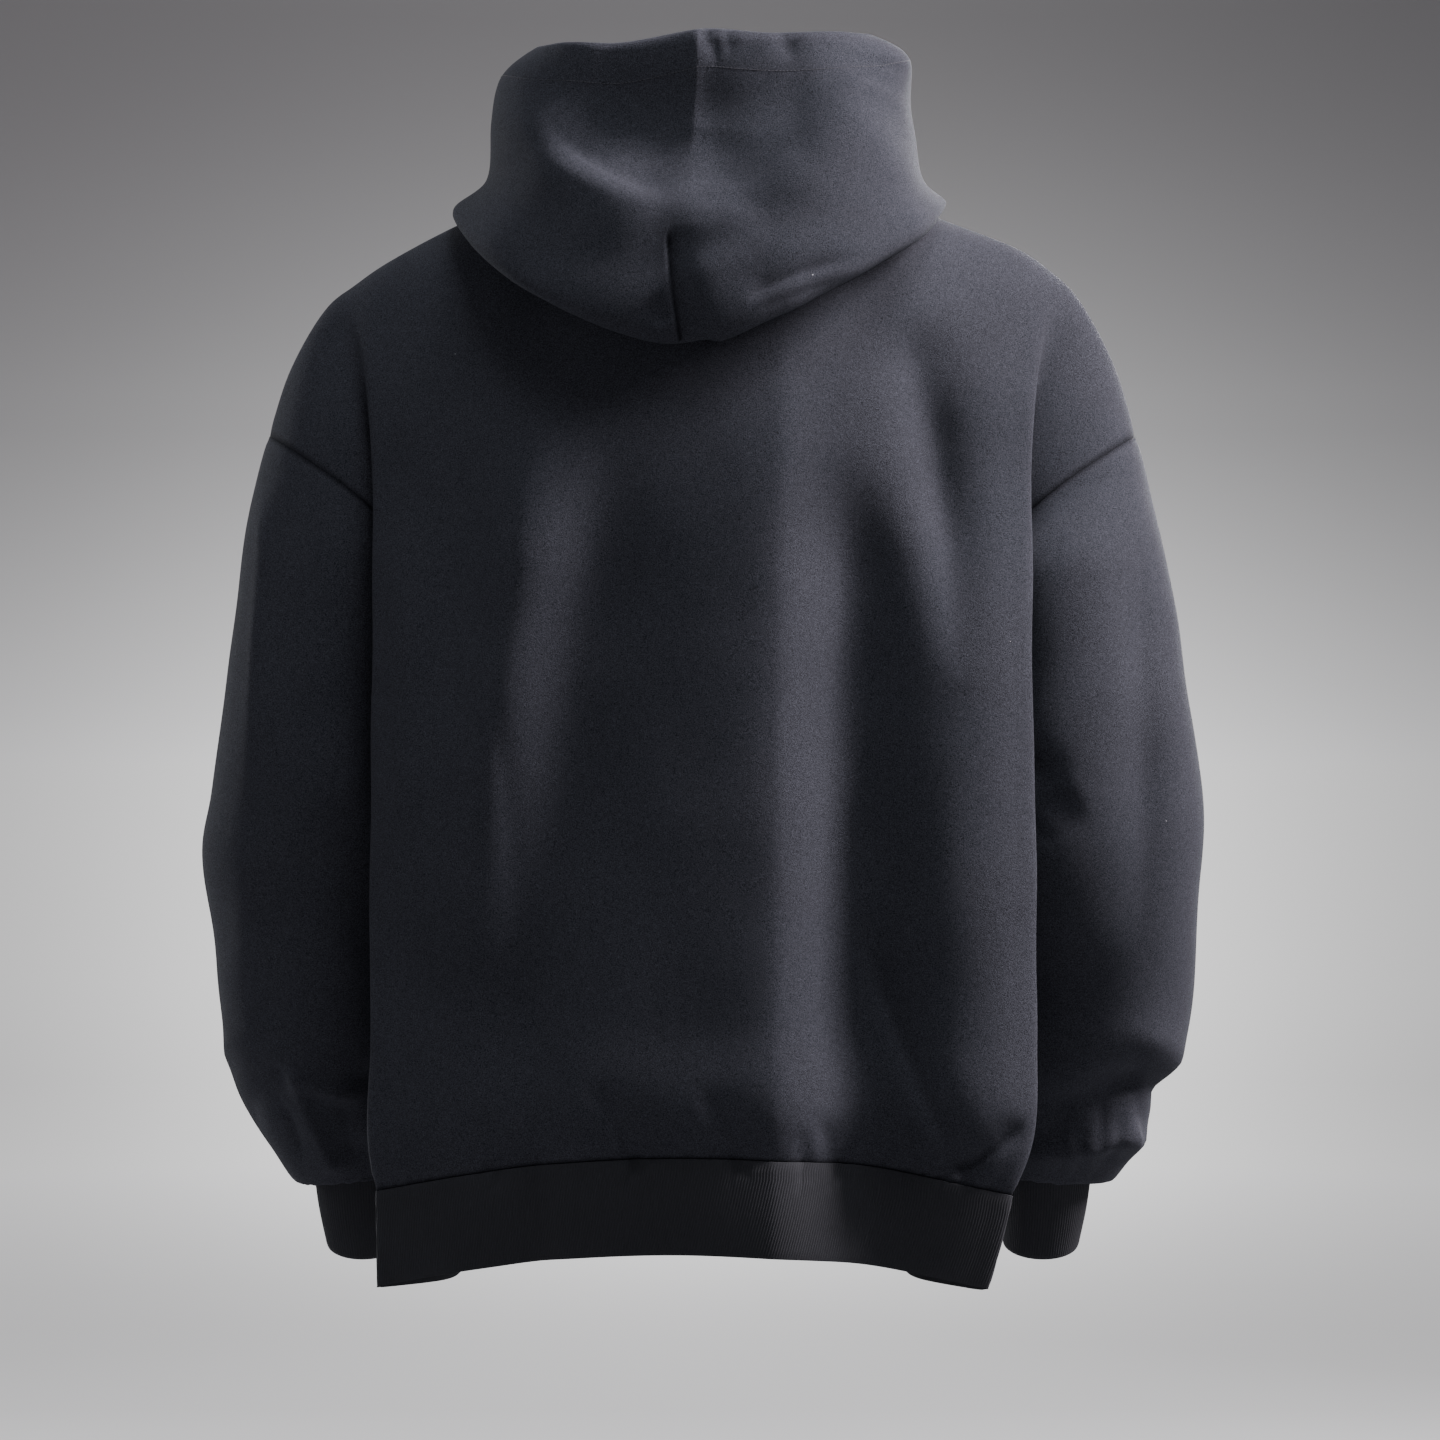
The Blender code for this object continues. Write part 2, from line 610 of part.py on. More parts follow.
def build_slider(middle, metal):
    """The slider's two plates with the post between them, and the bail that holds the pull tab."""
    s = SLIDER
    place = place_on_zip(middle, s["from_top"], 0)
    top = 2 * CLEAR + CHAIN["thickness"] + s["plate"]
    bottom = -(TAPE["thickness"] + 2 * CLEAR) - s["plate"]
    width, length = 2 * s["half_width"], 2 * s["half_length"]
    slider = block("zip_slider", metal, (width, length, s["plate"]), (0, 0, top - s["plate"] / 2), place)
    post_size = (2 * s["post"], s["post_length"], top - bottom - s["plate"])
    post_centre = (0, s["half_length"] - s["post_inset"] - s["post_length"] / 2, (top + bottom) / 2)
    post = block("post", metal, post_size, post_centre, place)
    back_centre = (0, 0, bottom + s["plate"] / 2)
    back_plate = block("back_plate", metal, (width, length, s["plate"]), back_centre, place)
    bail_height = s["hole_height"] + s["bail_bar"]
    bail_size = (2 * s["bail_half_width"], 2 * s["bail_half_length"], bail_height + s["plate"] / 2)
    bail = block("bail", metal, bail_size, (0, 0, top - s["plate"] / 4 + bail_height / 2), place)
    hole_size = (4 * s["bail_half_width"], 2 * s["hole_half_length"], s["hole_height"])
    hole = block("bail_hole", metal, hole_size, (0, 0, top + s["hole_height"] / 2), place)
    for part in (post, back_plate, bail):
        combine(slider, part, "UNION")
    combine(slider, hole, "DIFFERENCE")
    soften(slider)
    return place @ Matrix.Translation(Vector((0, 0, top + s["hole_height"] / 2)) * MM)


def build_pull_tab(hinge, metal):
    """A flat tab that hangs from the bail. Its eye's top bar runs through the bail and is the hinge."""
    p = PULL
    half_width = p["eye_half_width"] + p["arm"]
    bar = p["bar"] / 2
    radius = p["end_half_width"]
    outline = [(half_width, bar), (half_width, -p["eye_end"])]
    for angle in (90, 60, 30, 0, -30, -60, -90):
        turn = math.radians(angle)
        outline.append((radius * math.sin(turn), radius - p["length"] - radius * math.cos(turn)))
    outline += [(-half_width, -p["eye_end"]), (-half_width, bar)]
    shape = bmesh.new()
    corners = [shape.verts.new(Vector((x, y, -bar)) * MM) for x, y in outline]
    face = shape.faces.new(corners)
    made = bmesh.ops.extrude_face_region(shape, geom=[face])
    raised = [v for v in made["geom"] if isinstance(v, bmesh.types.BMVert)]
    bmesh.ops.translate(shape, verts=raised, vec=(0, 0, p["bar"] * MM))
    bmesh.ops.recalc_face_normals(shape, faces=shape.faces[:])
    tab = finished("zip_pull_tab", shape, metal)
    tab.matrix_world = hinge
    eye_size = (2 * p["eye_half_width"], p["eye_end"] - bar, 4 * p["bar"])
    eye = block("eye", metal, eye_size, (0, -(p["eye_end"] + bar) / 2, 0), hinge)
    combine(tab, eye, "DIFFERENCE")
    soften(tab)


def main():
    clear_scene()
    fleece = material("black_fleece", BLACK_FLEECE, 0.9)
    rib = material("black_rib", BLACK_RIB, 0.92)
    tape = material("black_tape", BLACK_TAPE, 0.8)
    teeth = material("black_teeth", BLACK_TEETH, 0.4)
    metal = material("gunmetal", GUNMETAL, 0.35, 1.0)

    back, front_left, front_right = body_panels(fleece)
    band = hem_band(rib)
    hood = hood_panel(neckline(back, front_left, front_right), fleece)
    panels = [back, front_left, front_right, band, hood, *arm_panels(fleece, rib)]
    share_seams(panels)
    for panel in panels:
        panel.draw_in(NECK_SEAM if panel is hood else SEAM / 2)
    straighten_hood_seam(hood)
    for panel in panels:
        closed_wall(panel.name, panel.grid, panel.inner_face(), panel.look, panel.around)

    middle = build_tapes(front_left, front_right, band, tape)
    build_chain(middle, teeth, metal)
    build_top_stops(middle, metal)
    hinge = build_slider(middle, metal)
    build_pull_tab(hinge, metal)


main()
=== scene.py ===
import json
import math
from functools import reduce

import bpy
import numpy as np
from mathutils import Vector
from mathutils.kdtree import KDTree
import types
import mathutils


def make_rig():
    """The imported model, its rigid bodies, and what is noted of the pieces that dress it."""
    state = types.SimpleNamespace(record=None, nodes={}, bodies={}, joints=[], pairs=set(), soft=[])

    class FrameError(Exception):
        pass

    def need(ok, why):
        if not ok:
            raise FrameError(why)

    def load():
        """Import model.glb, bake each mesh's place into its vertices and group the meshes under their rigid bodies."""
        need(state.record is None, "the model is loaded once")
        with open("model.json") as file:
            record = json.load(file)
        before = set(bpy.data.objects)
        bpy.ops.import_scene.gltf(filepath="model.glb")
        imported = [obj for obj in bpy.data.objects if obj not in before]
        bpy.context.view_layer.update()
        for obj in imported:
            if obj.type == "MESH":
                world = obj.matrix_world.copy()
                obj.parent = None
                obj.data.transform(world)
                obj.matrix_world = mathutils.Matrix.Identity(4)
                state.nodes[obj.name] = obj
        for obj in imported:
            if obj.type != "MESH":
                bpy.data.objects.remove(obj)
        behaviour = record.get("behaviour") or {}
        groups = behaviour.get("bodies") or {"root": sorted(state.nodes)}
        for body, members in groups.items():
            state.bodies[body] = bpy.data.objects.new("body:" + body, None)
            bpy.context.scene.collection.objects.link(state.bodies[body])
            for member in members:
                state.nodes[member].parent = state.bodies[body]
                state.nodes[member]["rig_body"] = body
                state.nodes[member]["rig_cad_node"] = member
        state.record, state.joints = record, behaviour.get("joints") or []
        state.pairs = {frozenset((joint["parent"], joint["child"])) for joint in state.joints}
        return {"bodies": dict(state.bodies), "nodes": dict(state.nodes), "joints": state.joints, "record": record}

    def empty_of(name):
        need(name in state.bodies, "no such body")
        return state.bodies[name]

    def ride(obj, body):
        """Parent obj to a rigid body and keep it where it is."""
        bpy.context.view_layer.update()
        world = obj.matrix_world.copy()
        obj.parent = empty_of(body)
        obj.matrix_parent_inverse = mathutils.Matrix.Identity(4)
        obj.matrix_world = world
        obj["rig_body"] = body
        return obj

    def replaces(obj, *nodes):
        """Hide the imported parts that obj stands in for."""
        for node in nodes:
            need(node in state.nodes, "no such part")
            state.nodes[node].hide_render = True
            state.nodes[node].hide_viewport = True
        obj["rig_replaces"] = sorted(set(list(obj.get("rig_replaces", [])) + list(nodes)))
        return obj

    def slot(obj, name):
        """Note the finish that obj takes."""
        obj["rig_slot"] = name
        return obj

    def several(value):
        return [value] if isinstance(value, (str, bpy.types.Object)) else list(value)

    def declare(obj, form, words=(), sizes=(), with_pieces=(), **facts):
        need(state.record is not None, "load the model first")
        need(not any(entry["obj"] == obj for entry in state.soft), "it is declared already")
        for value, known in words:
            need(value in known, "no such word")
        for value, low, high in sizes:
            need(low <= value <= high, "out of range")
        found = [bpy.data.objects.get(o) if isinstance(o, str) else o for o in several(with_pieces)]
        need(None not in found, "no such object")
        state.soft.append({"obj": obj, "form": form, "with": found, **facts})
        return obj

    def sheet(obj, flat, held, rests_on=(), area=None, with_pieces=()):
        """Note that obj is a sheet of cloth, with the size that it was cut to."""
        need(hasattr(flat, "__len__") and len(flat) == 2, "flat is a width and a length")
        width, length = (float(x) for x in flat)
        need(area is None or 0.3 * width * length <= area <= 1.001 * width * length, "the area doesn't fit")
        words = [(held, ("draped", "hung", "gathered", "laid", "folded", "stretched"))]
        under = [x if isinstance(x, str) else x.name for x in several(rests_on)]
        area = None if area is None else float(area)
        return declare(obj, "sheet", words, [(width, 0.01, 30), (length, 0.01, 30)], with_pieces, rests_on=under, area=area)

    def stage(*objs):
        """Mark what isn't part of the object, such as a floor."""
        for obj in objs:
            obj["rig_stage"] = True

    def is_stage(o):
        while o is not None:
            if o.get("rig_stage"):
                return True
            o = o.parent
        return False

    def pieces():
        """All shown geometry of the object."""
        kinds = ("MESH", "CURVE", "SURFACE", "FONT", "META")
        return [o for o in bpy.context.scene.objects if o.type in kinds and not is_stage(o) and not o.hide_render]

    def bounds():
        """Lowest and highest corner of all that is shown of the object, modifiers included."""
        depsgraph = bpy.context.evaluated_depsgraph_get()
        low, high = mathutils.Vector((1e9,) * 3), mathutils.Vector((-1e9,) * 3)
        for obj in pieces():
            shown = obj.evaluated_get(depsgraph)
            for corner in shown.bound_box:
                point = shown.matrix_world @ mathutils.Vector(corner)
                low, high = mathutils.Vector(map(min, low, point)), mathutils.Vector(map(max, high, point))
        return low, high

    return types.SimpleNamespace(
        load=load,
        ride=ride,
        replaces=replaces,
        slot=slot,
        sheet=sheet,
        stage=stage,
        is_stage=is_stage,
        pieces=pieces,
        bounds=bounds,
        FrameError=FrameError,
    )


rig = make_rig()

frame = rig.load()
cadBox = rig.bounds()

# Lengths in the dictionaries and tables are millimetres, and meshes are made in metres.
# The front faces -Y, the wearer's left is +X and the origin is the middle of the base of the neck.
mm = 0.001

thickness = {"fleece": 2.6, "rib": 3.6, "casing": 5.0, "casingDepth": 30, "tape": 0.9}
pieces = {}
edgeRoundness = 0.42  # how round the cloth's edges are, as a share of its thickness
seams = {
    "overlap": 0.2,  # sewn edges meet, so that no light shows through a seam
    "bandOverlap": 0.6,  # a rib band's edge stands a little further into the seam
    "neckGap": 0.6,
    "tapeClearance": 0.35,
    "meeting": 0.05,  # edges closer than this are sewn
    # how deep and wide seams are drawn in, then how strong the painted shade along a seam's edge is and how near the
    # edge it lies
    "depth": 1.1, "width": 5, "paintedShadeStrength": 0.8, "paintedShadeWidth": 0.01,
}


def addObject(name, data):
    made = bpy.data.objects.new(name, data)
    bpy.context.scene.collection.objects.link(made)
    return made


def addMesh(name, points, faces, look):
    mesh = bpy.data.meshes.new(name)
    mesh.from_pydata(points.tolist(), [], faces)
    mesh.materials.append(look)
    return mesh


def onGarment(piece, slot, solid=None):
    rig.ride(piece, "garment")
    if solid:
        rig.replaces(piece, solid)
    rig.slot(piece, slot)
    pieces[piece.name] = piece
    return piece


def applyAll(made):
    bpy.ops.object.select_all(action="DESELECT")
    bpy.context.view_layer.objects.active = made
    made.select_set(True)
    for modifier in list(made.modifiers):
        bpy.ops.object.modifier_apply(modifier=modifier.name)
    made.select_set(False)


def mix(a, b, share):
    return a + (b - a) * share


def vec(x, y, z):
    return np.stack(np.broadcast_arrays(x, y, z), axis=-1).astype(float)


def unit(vectors):
    return vectors / np.maximum(np.linalg.norm(vectors, axis=-1, keepdims=True), 1e-9)


def smoothStep(low, high, value):
    t = np.clip((value - low) / (high - low), 0, 1)
    return t * t * (3 - 2 * t)


def readRows(rows, keys, wanted):
    # the table at the wanted keys, on a smooth curve through its rows
    slopes = np.gradient(rows, keys, axis=0)
    i = np.clip(np.searchsorted(keys, wanted) - 1, 0, len(keys) - 2)
    span = (keys[i + 1] - keys[i])[:, None]
    t = (wanted - keys[i])[:, None] / span
    return (
        (2 * t**3 - 3 * t**2 + 1) * rows[i]
        + (t**3 - 2 * t**2 + t) * span * slopes[i]
        + (3 * t**2 - 2 * t**3) * rows[i + 1]
        + (t**3 - t**2) * span * slopes[i + 1]
    )


def readLine(line, lengths, wanted):
    # the line's points or directions at the wanted lengths along it
    return np.stack([np.interp(wanted, lengths, line[:, k]) for k in range(3)], axis=-1)


def closed(grid, around):
    # a tube's first column again after its last
    return np.concatenate([grid, grid[:, :1]], axis=1) if around else grid


def splineThrough(points, steps, before=None, after=None):
    # many curves side by side: each entry of points is one station of all of them
    before = 2 * points[0] - points[1] if before is None else before
    after = 2 * points[-1] - points[-2] if after is None else after
    full = [before, *points, after]
    knots = [np.zeros(points[0].shape[:-1] + (1,))]
    for a, b in zip(full, full[1:]):
        knots.append(knots[-1] + np.maximum(np.linalg.norm(b - a, axis=-1, keepdims=True), 1e-6) ** 0.5)
    found = [points[0]]
    for i, count in enumerate(steps):
        p0, p1, p2, p3 = full[i:i + 4]
        k0, k1, k2, k3 = knots[i:i + 4]
        for step in range(1, count + 1):
            t = mix(k1, k2, step / count)
            a1 = mix(p0, p1, (t - k0) / (k1 - k0))
            a2 = mix(p1, p2, (t - k1) / (k2 - k1))
            a3 = mix(p2, p3, (t - k2) / (k3 - k2))
            b1 = mix(a1, a2, (t - k0) / (k2 - k0))
            b2 = mix(a2, a3, (t - k1) / (k3 - k1))
            found.append(mix(b1, b2, (t - k1) / (k2 - k1)))
    return np.stack(found)


# The body: shoulder seams, level rings and armholes. Half a ring has ten stations: six from the
# centre on by their shares of the way to the fold, the fold beside the arm, its turn, the hollow
# behind it and the side.
body = {
    "shares": (0.0, 0.28, 0.48, 0.61, 0.75, 0.93),
    "columns": (18, 13, 8, 9, 11, 6, 7, 9, 9),
    "armholeRows": 72, "levelRows": 92, "rowCrowding": 1.6,
    "depthPower": 2.4, "dropPower": 2, "hangPower": 3,
    "opening": 5.5,
    "backTurn": {"turn": (-13, -8, 0), "hollow": (-10, 5, 0)},
    "frontTurn": {"turn": (-3, 16, 0), "hollow": (-5, 0, 0)},
    "topHollow": (5, 0, 2),
}
topColumns = ("x", "yBack", "zBack", "yFront", "zFront", "start", "fullness", "lean")
topSeam = (
    (0, 78, -10, -86, -78, 2.0, 0.9, 0),
    (64, 61, -6, -62, -44, 2.2, 0.75, 0),
    (100, 8, 0, 8, 0, 2.5, 0.55, 0),
    (133, 8, -10, 8, -10, 2.6, 0.5, 0.7),
    (167, 8, -23, 8, -23, 2.6, 0.5, 1.5),
    (215, 7, -45, 7, -45, 2.6, 0.5, 5),
    (234, 6, -58, 6, -58, 2.6, 0.5, 5),
    (252, 5, -73, 5, -73, 2.6, 0.5, 3.5),
)
ringColumns = (
    "zBack", "zSide", "zFront", "back", "foldX", "foldY",
    "sideX", "sideY", "frontFoldX", "frontFoldY", "front", "sway",
)
bodyRings = (
    (-287, -293, -290, 124, 216, 66, 161, -5, 180, -98, -150, 0),
    (-370, -376, -373, 126, 217, 67, 156, -6, 178, -98, -152, 0),
    (-460, -468, -463, 126, 218, 68, 155, -8, 178, -98, -152, 0),
    (-550, -564, -554, 124, 218, 69, 157, -8, 180, -98, -151, 0),
    (-612, -634, -622, 125, 217, 70, 161, -8, 183, -98, -151, 2),
    (-639, -667, -652, 117, 209, 65, 158, -8, 177, -93, -144, 6),
)
bandRings = (
    (-639, -667, -652, 117, 209, 65, 158, -8, 177, -93, -144, 6),
    (-670, -698, -685, 117, 205, 65, 156, -8, 175, -92, -143, 9),
    (-701, -729, -718, 115, 201, 64, 154, -8, 172, -91, -141, 13),
)
armholeLoop = {
    "tipX": 293, "tipZ": -164, "underX": 161, "slope": 0.63, "drop": 46, "dropPower": 4,
    "y": -3, "back": 58, "front": 80,
}


def wayIn(front, name):
    return np.array(body["frontTurn" if front else "backTurn"][name], float)


def ringStations(ring, front):
    # one half of level rings, from the centre to the side
    side = vec(ring["sideX"], ring["sideY"], ring["zSide"])
    names = {
        True: ("zFront", "front", "frontFoldX", "frontFoldY"),
        False: ("zBack", "back", "foldX", "foldY"),
    }
    z, depth, foldX, foldY = (ring[name] for name in names[front])
    stations = [
        vec(
            foldX * share,
            mix(depth, foldY, share ** body["depthPower"]),
            mix(z, ring["zSide"], share ** body["dropPower"]),
        )
        for share in body["shares"]
    ]
    fold = vec(foldX, foldY, ring["zSide"])
    turn = fold + wayIn(front, "turn")
    hollow = mix(turn, side, 0.5) + wayIn(front, "hollow")
    return [*stations, fold, turn, hollow, side]


def armhole(angle, front):
    # points of the armhole, 0 at the tip of the shoulder seam and 180 at the underarm
    loop = armholeLoop
    turn = np.radians(angle)
    drop = (1 - np.cos(turn)) / 2
    x = mix(loop["tipX"], loop["underX"], drop)
    reach = -loop["front"] if front else loop["back"]
    z = loop["tipZ"] - loop["slope"] * (loop["tipX"] - x) - loop["drop"] * drop ** loop["dropPower"]
    return vec(x, loop["y"] + reach * np.sin(turn), z)


def upperStations(low, angles, front, side):
    # the same stations above the underarm, as far as the armhole
    rise = 1 - (angles / 180) ** body["rowCrowding"]
    stations = []
    for row, below in zip(topSeam, low):
        top = dict(zip(topColumns, row))
        y, z = (top["yFront"], top["zFront"]) if front else (top["yBack"], top["zBack"])
        z -= side * top["lean"]
        hang = (1 - rise ** top["start"]) ** top["fullness"]
        x = mix(below[0], top["x"], rise ** body["hangPower"])
        stations.append(vec(x, mix(y, below[1], hang), mix(below[2], z, rise)))
    edge = armhole(angles, front)
    offset = mix(wayIn(front, "hollow"), np.array(body["topHollow"], float), rise[:, None])
    return [*stations, mix(stations[-1], edge, 0.5) + offset, edge]


def openedRows(rows, firstSpan):
    # moves the first span of columns of a front over, so that the edge stands at the zip
    opened = rows.copy()
    steps = np.arange(firstSpan + 1)
    for k, row in enumerate(rows[:, :firstSpan + 1]):
        start = np.interp(body["opening"], row[:, 0], steps)
        wanted = start + (firstSpan - start) * steps / firstSpan
        opened[k, :firstSpan + 1] = readLine(row, steps, wanted)
    return opened


def gridRows(stations, columns, opposite, front):
    # rows of one half, from the centre to the outer edge
    mirrored = stations[1] * (-1, 1, 1)
    rows = np.swapaxes(splineThrough(stations, columns, before=mirrored, after=opposite), 0, 1)
    return openedRows(rows, columns[0]) if front else rows


def levelRows(rings, count, columns, front):
    table = np.array(rings, float)
    keys = -table[:, ringColumns.index("zSide")]
    read = readRows(table, keys, np.linspace(keys[0], keys[-1], count + 1))
    ring = dict(zip(ringColumns, read.T))
    beyond = ringStations(ring, not front)[-2]
    return gridRows(ringStations(ring, front), columns, beyond, front), ring["sway"]


def bodyHalf(front, side):
    # the side is 1 for the wearer's left
    columns = body["columns"]
    low = [p[0] for p in ringStations(dict(zip(ringColumns, np.array(bodyRings[:1], float).T)), front)]
    angles = 180 * np.arange(body["armholeRows"]) / body["armholeRows"]
    upper = gridRows(upperStations(low, angles, front, side), columns, None, front)
    level, sway = levelRows(bodyRings, body["levelRows"], columns, front)
    return onSide(np.concatenate([upper, level]), np.concatenate([0 * angles, sway]), side)


def onSide(rows, sway, side):
    return rows * (side, 1, 1) + sway[:, None, None] * np.array([1.0, 0, 0])


# The sleeves, as rings round each arm, with their points where the armhole has its own
sleeve = {"ringSteps": (22, 22, 11, 9, 16, 12, 9, 9, 7, 5), "cuffSteps": (9, 9), "cuffTilt": 8}
sleeveColumns = ("xLeft", "xRight", "xIn", "zOut", "zIn", "y", "back", "front")
sleeveRings = (
    (310, 311, 176, -234, -322, -8, 66, 82),
    (326, 331, 177, -345, -385, -14, 74, 86),
    (334, 342, 177, -405, -432, -20, 75, 85),
    (342, 343, 177, -444, -468, -25, 75, 84),
    (334, 338, 178, -520, -530, -40, 72, 82),
    (328, 331, 180, -576, -578, -54, 69, 78),
    (320, 315, 184, -614, -611, -64, 62, 70),
    (299, 299, 193, -652, -646, -74, 49, 54),
    (281, 283, 203, -677, -672, -80, 37, 39),
    (270, 270, 208.5, -665, -662, -77, 30, 31),
)
cuffRings = (
    (270, 270, 208.5, -665, -662, -77, 30, 31),
    (267, 267, 210, -694, -693, -86, 28, 29),
    (262, 262, 210, -722, -722, -95, 26, 27),
)


def armRings(rows, tilt, side, around):
    found = []
    for i, row in enumerate(rows):
        ring = dict(zip(sleeveColumns, row))
        turn = np.arange(around) * 2 * math.pi / around
        inward = (1 - np.cos(turn)) / 2
        behind = np.sin(turn)
        x = mix(ring["xLeft"] if side > 0 else ring["xRight"], ring["xIn"], inward)
        z = mix(ring["zOut"], ring["zIn"], inward) - tilt * i / (len(rows) - 1) * behind
        found.append(vec(x, ring["y"] + np.where(behind > 0, ring["back"], ring["front"]) * behind, z))
    return found


def sleeveGrid(side):
    angles = 180 * np.arange(body["armholeRows"] + 1) / body["armholeRows"]
    top = np.concatenate([armhole(angles, False), armhole(angles[-2:0:-1], True)])
    rings = [top, *armRings(sleeveRings, 0, side, len(top))]
    return splineThrough(rings, sleeve["ringSteps"]) * (side, 1, 1)


def cuffGrid(side, around):
    rings = armRings(cuffRings, sleeve["cuffTilt"], side, around)
    return splineThrough(rings, sleeve["cuffSteps"]) * (side, 1, 1)


# The hood, thrown back: each row is its profile at one angle round the neck, 0 in front and 180 behind
hood = {
    "y": 5, "roll": (11, -4), "foldInner": (-11, 12), "foldOuter": (9, 6), "innerRoll": 0.9,
    "thinUntil": 25, "fillsOver": 50, "thinnest": 0.08,  # degrees over which the rolls fill out
    "lean": {"foldZ": 2, "notchR": 3, "rimZ": 3.5}, "leanSpread": 1.8,
    "swing": 16, "swingPower": 1.5, "swingAt": 0.45, "swingWidth": 0.2,
    "steps": (6, 8, 10, 7, 6, 14, 14, 14, 12),
    "solidSteps": (1, 2, 2, 1, 1, 2, 2, 2, 2),
    "rimTurn": 15, "rimTurnFrom": 26,  # how far the rim curls in at the sides, and from how far down
    "rimTurnPower": 2.2, "rimSidePower": 6,
    "profile": ("stand", "fold", "notch", "ridge", "basin", "rim"),
}
hoodColumns = (
    "angle", "standR", "standZ", "foldR", "foldZ", "notchR", "notchZ",
    "ridgeR", "ridgeZ", "basinR", "basinZ", "rimR", "rimZ",
)
hoodProfiles = (
    (4, 90, -65, 92, -57, 94, -51, 97, -44, 99, -37, 101, -29),
    (35, 98, -34, 106, -26, 110, -18, 114, -9, 117, 2, 119, 14),
    (65, 104, 8, 136, -12, 131, 4, 130, 26, 131, 42, 129, 57),
    (95, 109, 22, 156, -17, 146, 6, 142, 40, 138, 66, 128, 92),
    (125, 100, 24, 157, -57, 155, -16, 147, 32, 133, 64, 124, 92),
    (150, 90, 22, 144, -93, 152, -52, 142, -12, 112, 34, 104, 89),
    (180, 83, 18, 126, -114, 141, -70, 131, -22, 94, 22, 88, 95),
)


def hoodStations(seam):
    side = np.where(seam[:, 0] > 0, 1.0, -1.0)
    turn = np.arctan2(np.abs(seam[:, 0]), hood["y"] - seam[:, 1])
    angle = np.degrees(turn)
    beyond = (360 - hoodProfiles[-2][0], *hoodProfiles[-2][1:])
    table = np.array([*hoodProfiles, beyond], float)
    at = dict(zip(hoodColumns, readRows(table, table[:, 0], angle).T))
    for column, lean in hood["lean"].items():
        at[column] = at[column] - lean * side * np.minimum(1.0, hood["leanSpread"] * np.sin(turn))
    fullness = np.clip((angle - hood["thinUntil"]) / hood["fillsOver"], hood["thinnest"], 1)[:, None]

    spot = {name: np.stack([at[name + "R"], at[name + "Z"]], axis=-1) for name in hood["profile"]}
    rolls = (hood["roll"], hood["foldInner"], hood["foldOuter"])
    roll, inner, outer = (np.array(turned, float) * fullness for turned in rolls)
    profile = [
        np.stack([np.hypot(seam[:, 0], seam[:, 1] - hood["y"]), seam[:, 2]], axis=-1),
        spot["stand"],
        spot["stand"] + roll,
        spot["fold"] + inner * hood["innerRoll"],
        spot["fold"],
        spot["fold"] + outer,
        spot["notch"],
        spot["ridge"],
        spot["basin"],
        spot["rim"],
    ]
    return profile, side, turn


def hoodGrid(seam):
    profile, side, turn = hoodStations(seam)
    flat = splineThrough(profile, hood["steps"])
    middling = np.exp(-(((hoodShares() - hood["swingAt"]) / hood["swingWidth"]) ** 2))
    swing = hood["swing"] * np.maximum(0.0, -np.cos(turn)) ** hood["swingPower"] * middling[:, None]
    x = side * flat[..., 0] * np.sin(turn) + swing
    grid = vec(x, hood["y"] - flat[..., 0] * np.cos(turn), flat[..., 1])
    fromRim = lengthsAlong(grid[::-1], 0)[::-1]
    curl = np.maximum(0, 1 - fromRim / hood["rimTurnFrom"]) ** hood["rimTurnPower"]
    grid[..., 0] -= side * (curl * np.sin(turn) ** hood["rimSidePower"]) * hood["rimTurn"]
    grid[0] = seam
    return grid


def hoodShares():
    # how far each row lies along the profile, as the shares at which its solid's rows lie
    ends = np.concatenate([[0], np.cumsum(hood["solidSteps"])]) / sum(hood["solidSteps"])
    stations = np.concatenate([[0], np.cumsum(hood["steps"])])
    return np.interp(np.arange(stations[-1] + 1), stations, ends)


def neckSeam(back, left, right, neckColumns):
    # the neck seam from the left front round the back to the right front
    middle = back.shape[1] // 2
    behind = back[0, middle - neckColumns + 1:middle + neckColumns]
    return np.concatenate([left[0, :neckColumns + 1], behind[::-1], right[0, :neckColumns + 1][::-1]])


# Cloth as grids of points on the outer face, with the wall's thickness on the inside
def slopeAlong(points, axis, around):
    if around:
        return np.roll(points, -1, axis=axis) - np.roll(points, 1, axis=axis)
    return np.gradient(points, axis=axis)


def lengthsAlong(points, axis):
    steps = np.linalg.norm(np.diff(points, axis=axis), axis=-1)
    shape = list(steps.shape)
    shape[axis] = 1
    return np.concatenate([np.zeros(shape), np.cumsum(steps, axis=axis)], axis=axis)


